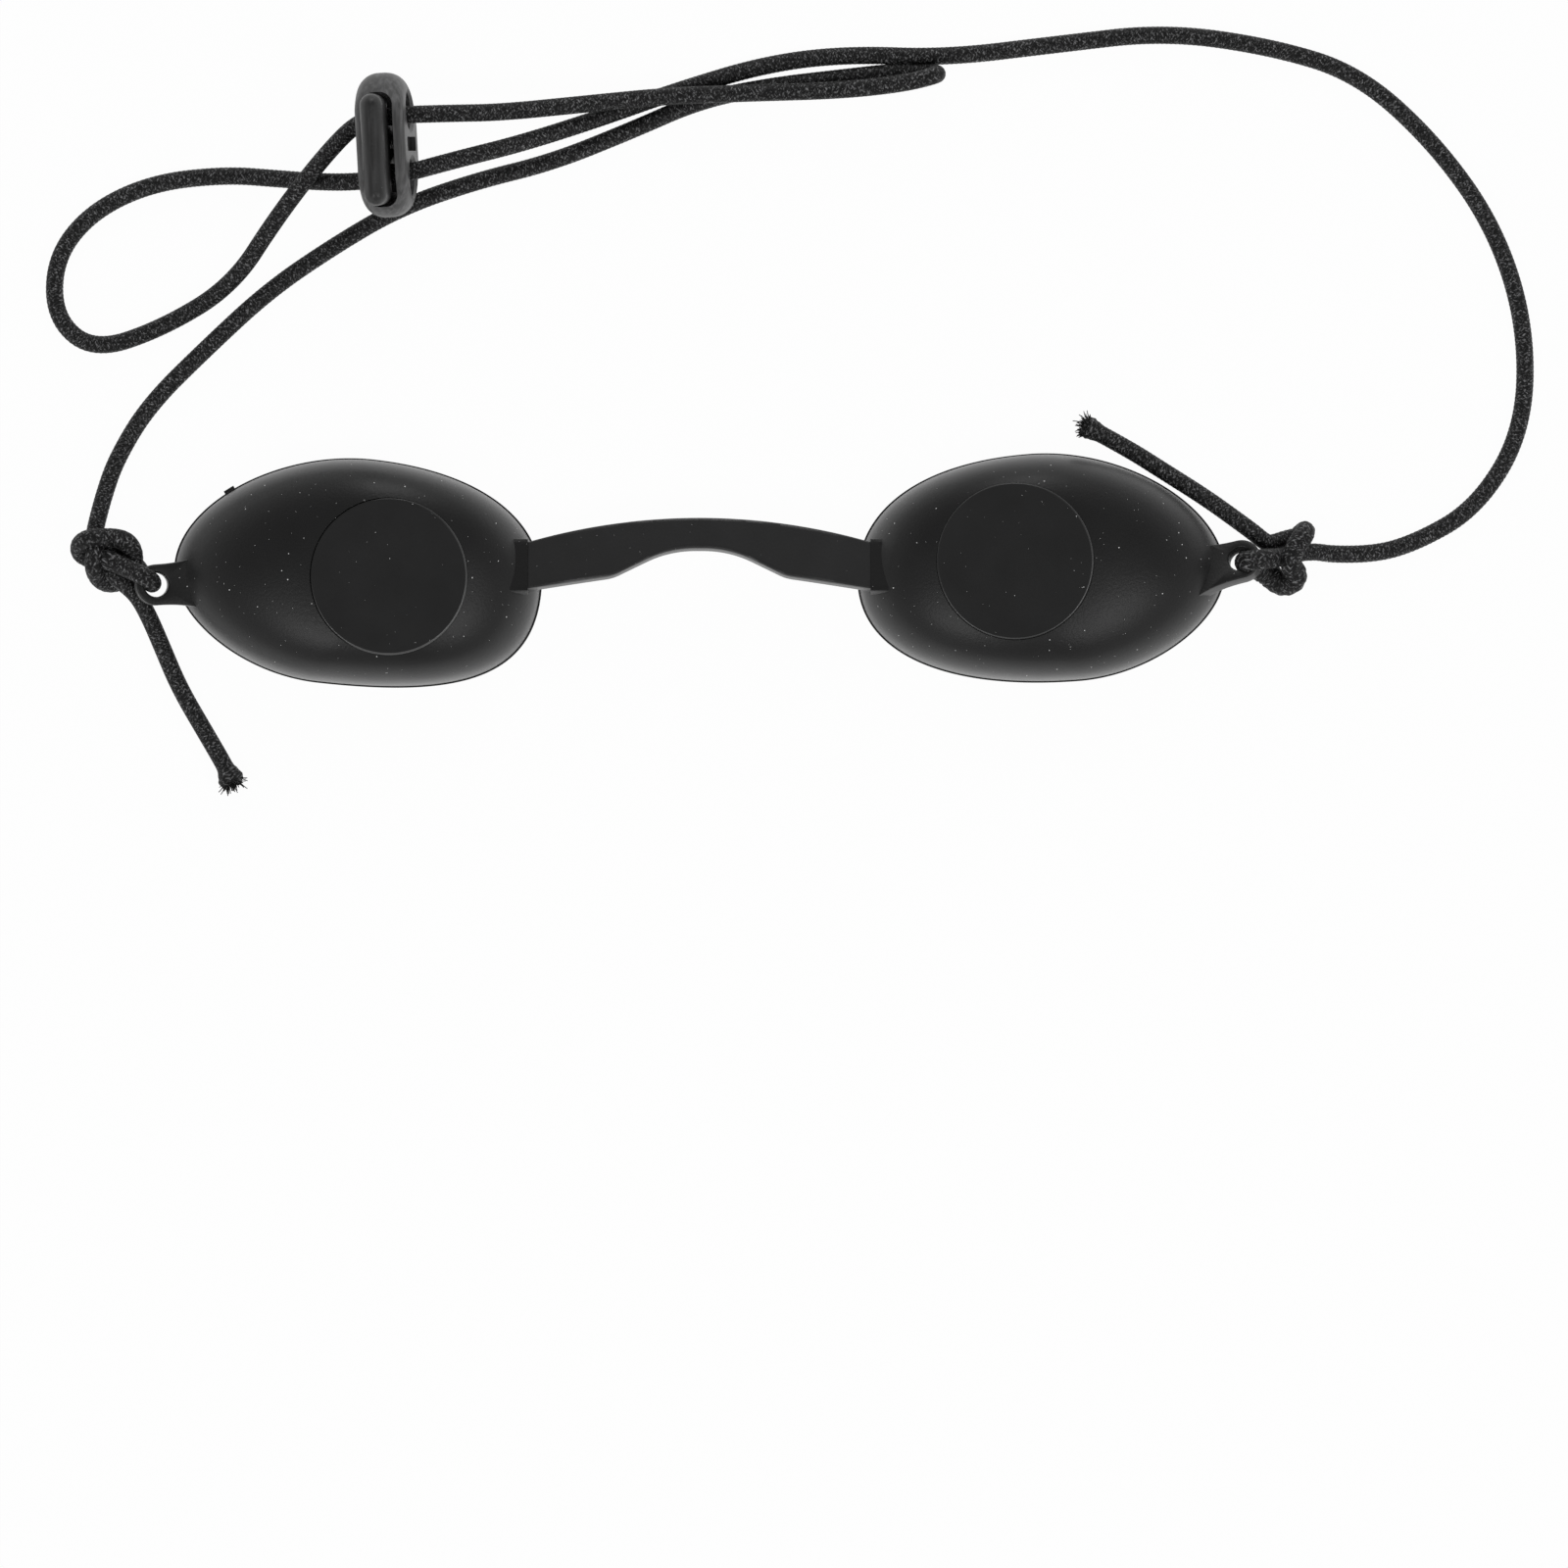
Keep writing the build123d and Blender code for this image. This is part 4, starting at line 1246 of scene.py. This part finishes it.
def lock_button(finish):
    """The button's blade, drawn in at its foot as the pocket is, its crown rounded, with a slot for each
    stretch of cord."""
    base = lock_floor + button_travel + cord_gap
    top = lock_height + button_proud
    thick = button_thickness - button_narrowing
    plans = []
    for height in np.linspace(base, base + button_foot, button_foot_rings):
        half = min(button_width / 2, pocket_half(height - button_travel) - button_fit)
        plans.append((thick, 2 * half, button_crown, height))
    for down, inset in zip(*rounded_edge(button_crown, button_crown_rings)):
        slim = max(thick - 2 * inset, button_least_thickness)
        radius = max(button_crown - inset, button_least_radius)
        plans.append((slim, button_width - 2 * inset, radius, top - down))
    rings = [
        lock_ring(slim, width, radius, button_columns, height, button_aside, pocket_down)
        for slim, width, radius, height in plans
    ]
    button = skin("lock_button_blade", in_lock(np.array(rings)), finish)
    cord_height = lock_hole_height + lock_hole_radius - cord_diameter / 2 - cord_gap
    low = cord_height - cord_diameter / 2 - cord_gap
    high = cord_height + cord_diameter / 2 + cord_gap + button_travel
    wide = button_slot_width / 2
    for y in lock_hole_places:
        slot = block((-lock_thickness, y - wide, low), (lock_thickness, y + wide, high), button_slot_rounding)
        button = combined(button, skin("slot", in_lock(slot), None), "DIFFERENCE")
    return dressed(button, "lock_button", "cord_lock", "button")


# Cord

def smooth_path(route):
    """Points along the smooth curve that a route's points control, evenly spaced by its length."""
    curve = bpy.data.curves.new("route", "CURVE")
    curve.dimensions = "3D"
    curve.resolution_u = path_fineness
    spline = curve.splines.new("NURBS")
    spline.points.add(len(route) - 1)
    spline.points.foreach_set("co", np.array([(*point, 1.0) for point in route]).ravel())
    spline.order_u = 3
    spline.use_endpoint_u = True
    holder = bpy.data.objects.new("route", curve)
    bpy.context.scene.collection.objects.link(holder)
    bpy.context.view_layer.update()
    mesh = bpy.data.meshes.new_from_object(holder)
    points = np.array([vertex.co for vertex in mesh.vertices], float)
    points[:, 2] = np.maximum(points[:, 2], cord_width / 2)
    bpy.data.objects.remove(holder)
    bpy.data.meshes.remove(mesh)
    steps = np.linalg.norm(np.diff(points, axis=0), axis=1)
    at = np.concatenate([[0.0], np.cumsum(steps)])
    count = round(at[-1] / cord_ring_step) + 1
    even = np.linspace(0.0, at[-1], count)
    return stack(*(np.interp(even, at, points[:, axis]) for axis in range(3))), even


def path_axes(path):
    """Two directions square to the path at each point, turned along it as little as its bends allow."""
    ahead = np.gradient(path, axis=0)
    ahead /= np.linalg.norm(ahead, axis=1, keepdims=True)
    side = np.cross(ahead[0], (0.0, 0.0, 1.0))
    sides_found = []
    for direction in ahead:
        side = side - direction * (side @ direction)
        side /= np.linalg.norm(side)
        sides_found.append(side)
    across = np.array(sides_found)
    return across, np.cross(across, ahead)


def braid_height(around, along):
    """How far the braid stands out, from 0 to 1, at a lap round the cord and a length along it.

    Two families of strands wind opposite ways. Across a strand the height is a half circle's, along it a
    cosine takes it over one strand of the other family and under the next, and the higher family shows.
    """
    one = braid_strands * around + along / braid_step
    two = braid_strands * around - along / braid_step
    heights = []
    for across, onward, over in ((one, two, 1.0), (two, one, -1.0)):
        place = np.round(across)
        crown = np.sqrt(np.clip(1 - (braid_narrowing * (across - place)) ** 2, 0.0, 1.0))
        heights.append(crown + over * braid_lift * np.cos(math.pi * onward) * np.cos(math.pi * place))
    return np.clip((np.maximum(*heights) + braid_base) / braid_span, 0.0, 1.0)


def tube_rings(path, radius, count):
    """Rings round a path: its points plus the radius times a circle's spokes, square to it."""
    across, up = path_axes(path)
    angle = 2 * math.pi * np.arange(count) / count
    spokes = across[:, None] * np.cos(angle)[:, None] + up[:, None] * np.sin(angle)[:, None]
    return path[:, None] + radius[..., None] * spokes


def braided_tube(name, path, lengths, finish, taper=None):
    """A tube along a path, its radius raised and lowered by the braid."""
    lap = np.arange(cord_sides) / cord_sides
    radius = cord_width / 2 - braid_relief * (1 - braid_height(lap[None, :], lengths[:, None]))
    if taper is not None:
        radius = radius * taper[:, None]
    rings = tube_rings(path, radius, cord_sides)
    return skin(name, rings, finish, skin_map=(lengths / braid_step, braid_strands), crease=80.0)


def settled(path):
    """A knot's path, its crossing stretches pushed apart until none sinks into another.

    Each round moves every point away from the points further along that lie nearer than the cord's width, by
    a share of the overlap, mostly up or down, then draws it towards its place in plan and its neighbours.
    """
    place = path.copy()
    steps = np.arange(len(path)) * np.linalg.norm(path[1] - path[0])
    apart = np.abs(steps[:, None] - steps[None, :]) > knot_skip
    free = np.clip(np.minimum(steps, steps[::-1]) / cord_diameter - 1.0, 0.0, 1.0)[:, None]
    for _ in range(knot_rounds):
        offset = place[:, None, :] - place[None, :, :]
        distance = np.linalg.norm(offset, axis=2)
        push = np.where(apart & (distance < knot_push), knot_push - distance, 0.0)
        share = push / np.maximum(distance, knot_least_distance) / np.maximum((push > 0).sum(1), 1)[:, None]
        move = (offset * share[..., None]).sum(1) * knot_shove
        middle = (np.roll(place, knot_neighbour, 0) + np.roll(place, -knot_neighbour, 0)) / 2
        move += (middle - place) * knot_smoothing
        move += (path - place) * knot_hold
        place = place + move * free
        place[:, 2] = np.maximum(place[:, 2], cord_width / 2)
    return place


def knot(side_name, route, swell_shares, finish):
    """The knot as one stretch of braided cord, from the run's end through the ear to the tail."""
    path, lengths = smooth_path(route)
    path = settled(np.concatenate([path[:-1:2], path[-1:]]))
    lengths = np.concatenate([[0.0], np.cumsum(np.linalg.norm(np.diff(path, axis=0), axis=1))])
    swell = np.interp(lengths / lengths[-1], *zip(*swell_shares))
    creases = np.cos(2 * math.pi * lengths / knot_crease_step)
    swell = swell + knot_crease_share * np.maximum(swell - knot_crease_from, 0.0) * creases
    piece = braided_tube(side_name + "_cord_knot", path, lengths, finish, taper=swell)
    return dressed(piece, side_name + "_knot", "cord", side_name + "_side")


def fray(lengths, share):
    """How much wider the braid opens towards a cut end, in folds, and how it rounds off there."""
    short = np.clip(1 - (lengths[-1] - lengths) / fray_length, 0.0, 1.0)
    wide = 1 + share * np.sin(np.minimum(short * fray_quickness, 1.0) * math.pi / 2) ** 2
    folds = 1 + fray_fold_share * short * np.sin(2 * math.pi * lengths / fray_fold_step)
    end = np.clip(1 - (lengths[-1] - lengths) / fray_round, 0.0, 1.0)
    return wide * folds * np.sqrt(1 - fray_closing * end ** 2)


def tail_end(name, path, seed, body, finish):
    """The cut end's loose threads: short tapering hairs that fan out from the end of the tail."""
    chance = np.random.default_rng(seed)
    across, up = path_axes(path)
    end, forward = path[-1], path[-1] - path[-4]
    forward = forward / np.linalg.norm(forward)
    hairs = []
    steps = np.linspace(0.0, 1.0, hair_points)
    for _ in range(fray_hairs):
        angle = chance.uniform(0, 2 * math.pi)
        spread = math.sqrt(chance.uniform())
        out = across[-1] * math.cos(angle) + up[-1] * math.sin(angle)
        depth = fray_round * (hair_depth[0] + hair_depth[1] * spread ** 2)
        root = end - forward * depth + out * spread * fray_reach
        reach = chance.uniform(hair_least, hair_most) * chance.uniform(*hair_share)
        lean = out * chance.uniform(*hair_lean) * spread + chance.normal(0, hair_sway, 3)
        line = root + forward * (reach * steps)[:, None] + lean * (reach * steps ** hair_curl)[:, None]
        line[:, 2] = np.maximum(line[:, 2], hair_clearance)
        width = hair_width * (1 - 0.5 * steps)
        hairs.append(skin("hair", tube_rings(line, width[:, None], hair_sides), finish))
    fringe = joined(hairs, name)
    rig.ride(fringe, body)
    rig.slot(fringe, "cord")
    return fringe


# Room, lights and camera

def floor():
    """A white floor: part lit, so that it takes the goggles' shadow, and part plain white to the camera."""
    mesh = bpy.data.meshes.new("floor")
    corners = floor_half * np.array([(-1, -1, 0), (1, -1, 0), (1, 1, 0), (-1, 1, 0)])
    mesh.from_pydata(corners.tolist(), [], [(0, 1, 2, 3)])
    plane = bpy.data.objects.new("floor", mesh)
    bpy.context.scene.collection.objects.link(plane)
    finish = Finish("white_floor")
    finish.surface(Base_Color=grey(0.9), Roughness=0.9, Specular_IOR_Level=0.0)
    rays = finish.node("ShaderNodeLightPath", {}, {}).socket.node.outputs
    seen = Value(finish, rays["Is Camera Ray"]) + Value(finish, rays["Is Glossy Ray"])
    seen = seen + Value(finish, rays["Is Transmission Ray"])
    white = finish.node("ShaderNodeEmission", {}, {"Color": grey(1.0), "Strength": 1.0})
    lit = Value(finish, finish.shader.outputs[0])
    both = finish.node("ShaderNodeMixShader", {}, {0: seen * floor_white, 1: lit, 2: white})
    finish.feed(finish.tree.nodes["Material Output"].inputs["Surface"], both)
    mesh.materials.append(finish.material)
    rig.stage(plane)


def lamp(name, place, size, power):
    """A square soft box that faces the goggles."""
    data = bpy.data.lights.new(name, "AREA")
    data.size = size
    data.energy = power
    light = bpy.data.objects.new(name, data)
    light.location = place
    aim = np.array(lamp_aim) - np.array(place)
    tilt = math.atan2(math.hypot(aim[0], aim[1]), -aim[2])
    light.rotation_euler = (tilt, 0.0, math.atan2(-aim[0], aim[1]))
    bpy.context.scene.collection.objects.link(light)


def room():
    """A light tent: bright round the sides, darker overhead, and three soft boxes."""
    world = bpy.data.worlds.new("studio")
    bpy.context.scene.world = world
    world.use_nodes = True
    sky = Shading(world.node_tree)
    up = sky.parts(sky.node("ShaderNodeTexCoord", {}, {}, output="Generated"))[2]
    level = sky.ramp(up, tent_stops)
    tent = sky.node("ShaderNodeBackground", {}, {"Color": level, "Strength": 1.0})
    white = sky.node("ShaderNodeBackground", {}, {"Color": grey(1.0)})
    seen = sky.node("ShaderNodeLightPath", {}, {}, output="Is Camera Ray")
    both = sky.node("ShaderNodeMixShader", {}, {0: seen, 1: tent, 2: white})
    sky.feed(world.node_tree.nodes["World Output"].inputs["Surface"], both)
    for name, (place, size, power) in soft_boxes.items():
        lamp(name, place, size, power)
    bpy.context.scene.view_settings.view_transform = "Standard"


def camera():
    """Straight down, with the photograph's frame and scale."""
    data = bpy.data.cameras.new("camera")
    data.sensor_width = sensor
    data.lens = sensor * camera_height / (photo_side * pixel)
    data.clip_end = camera_reach
    viewer = bpy.data.objects.new("camera", data)
    across, along = photo_side / 2 - origin_column, origin_row - photo_side / 2
    viewer.location = (across * pixel, along * pixel, camera_height)
    bpy.context.scene.collection.objects.link(viewer)
    bpy.context.scene.camera = viewer


def dress_cord(finish, lock_pieces):
    """The cord's five stretches between its ends, knots and lock."""
    left_knot = knot("left", left_knot_route, left_swell_shares, finish)
    right_knot = knot("right", right_knot_route, right_swell_shares, finish)
    stretches = [
        ("left_tail", left_tail_route, "left_side", "bare", [], left_fray_share),
        ("left_run", left_run_route, None, "fitting", [left_knot, *lock_pieces], 0.0),
        ("loop", loop_route, "left_side", "object", [], 0.0),
        ("right_run", right_run_route, None, "knot", [right_knot], 0.0),
        ("right_tail", right_tail_route, "right_side", "bare", [], right_fray_share),
    ]
    for name, route, body, far_end, with_pieces, fray_share in stretches:
        path, lengths = smooth_path(route)
        taper = fray(lengths, fray_share) if fray_share else None
        piece = dressed(braided_tube(name, path, lengths, finish, taper), "cord_" + name, "cord", body)
        if body is None:
            bends_between(piece, cord_blend)
        if fray_share:
            with_pieces = [tail_end(name + "_threads", path, fray_seeds[name], body, finish)]
        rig.cord(piece, exit=route[0], length=lengths[-1], diameter=cord_diameter, far_end=far_end,
                stiffness="limp", lay="loose", path=path, with_pieces=with_pieces)


def lock_spring(finish):
    """The coil under the button keeps the frame's own shape and gets its finish."""
    spring = frame["nodes"]["lock_spring"]
    spring.data.materials.clear()
    spring.data.materials.append(finish)
    return spring


def main():
    cup_finish = moulded(
        "cup_plastic", level=0.005, roughness=0.4, grain=0.00003, dust=1.0, film_and_painted_sheen=0.16, sheen=0.05, gloss=0.4,
    )
    bridge_finish = moulded("bridge_plastic", level=0.018, roughness=0.3, grain=0.00003, dust=0.7, sheen=0.15)
    cord_finish = braided("cord_braid")
    for side in sides():
        eye_cup(side, cup_finish)
        name = side["name"] + "_window_plastic"
        centre = in_cup(side, window_frame(side)[0])
        window(side, moulded(name, level=0.011, roughness=0.3, grain=0.00001, dust=0.7, centre=centre))
    nose_bridge(bridge_finish)
    lock_pieces = [
        lock_body(streaked("lock_body_plastic", level=0.075, roughness=0.42)),
        lock_button(streaked("lock_button_plastic", level=0.019, roughness=0.34)),
        lock_spring(spring_steel("spring_wire")),
    ]
    dress_cord(cord_finish, lock_pieces)
    floor()
    room()
    camera()


main()
boxes = {"cad": [list(corner) for corner in cad_box], "visual": [list(corner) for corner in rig.bounds()]}
json.dump(boxes, open("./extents.json", "w"))
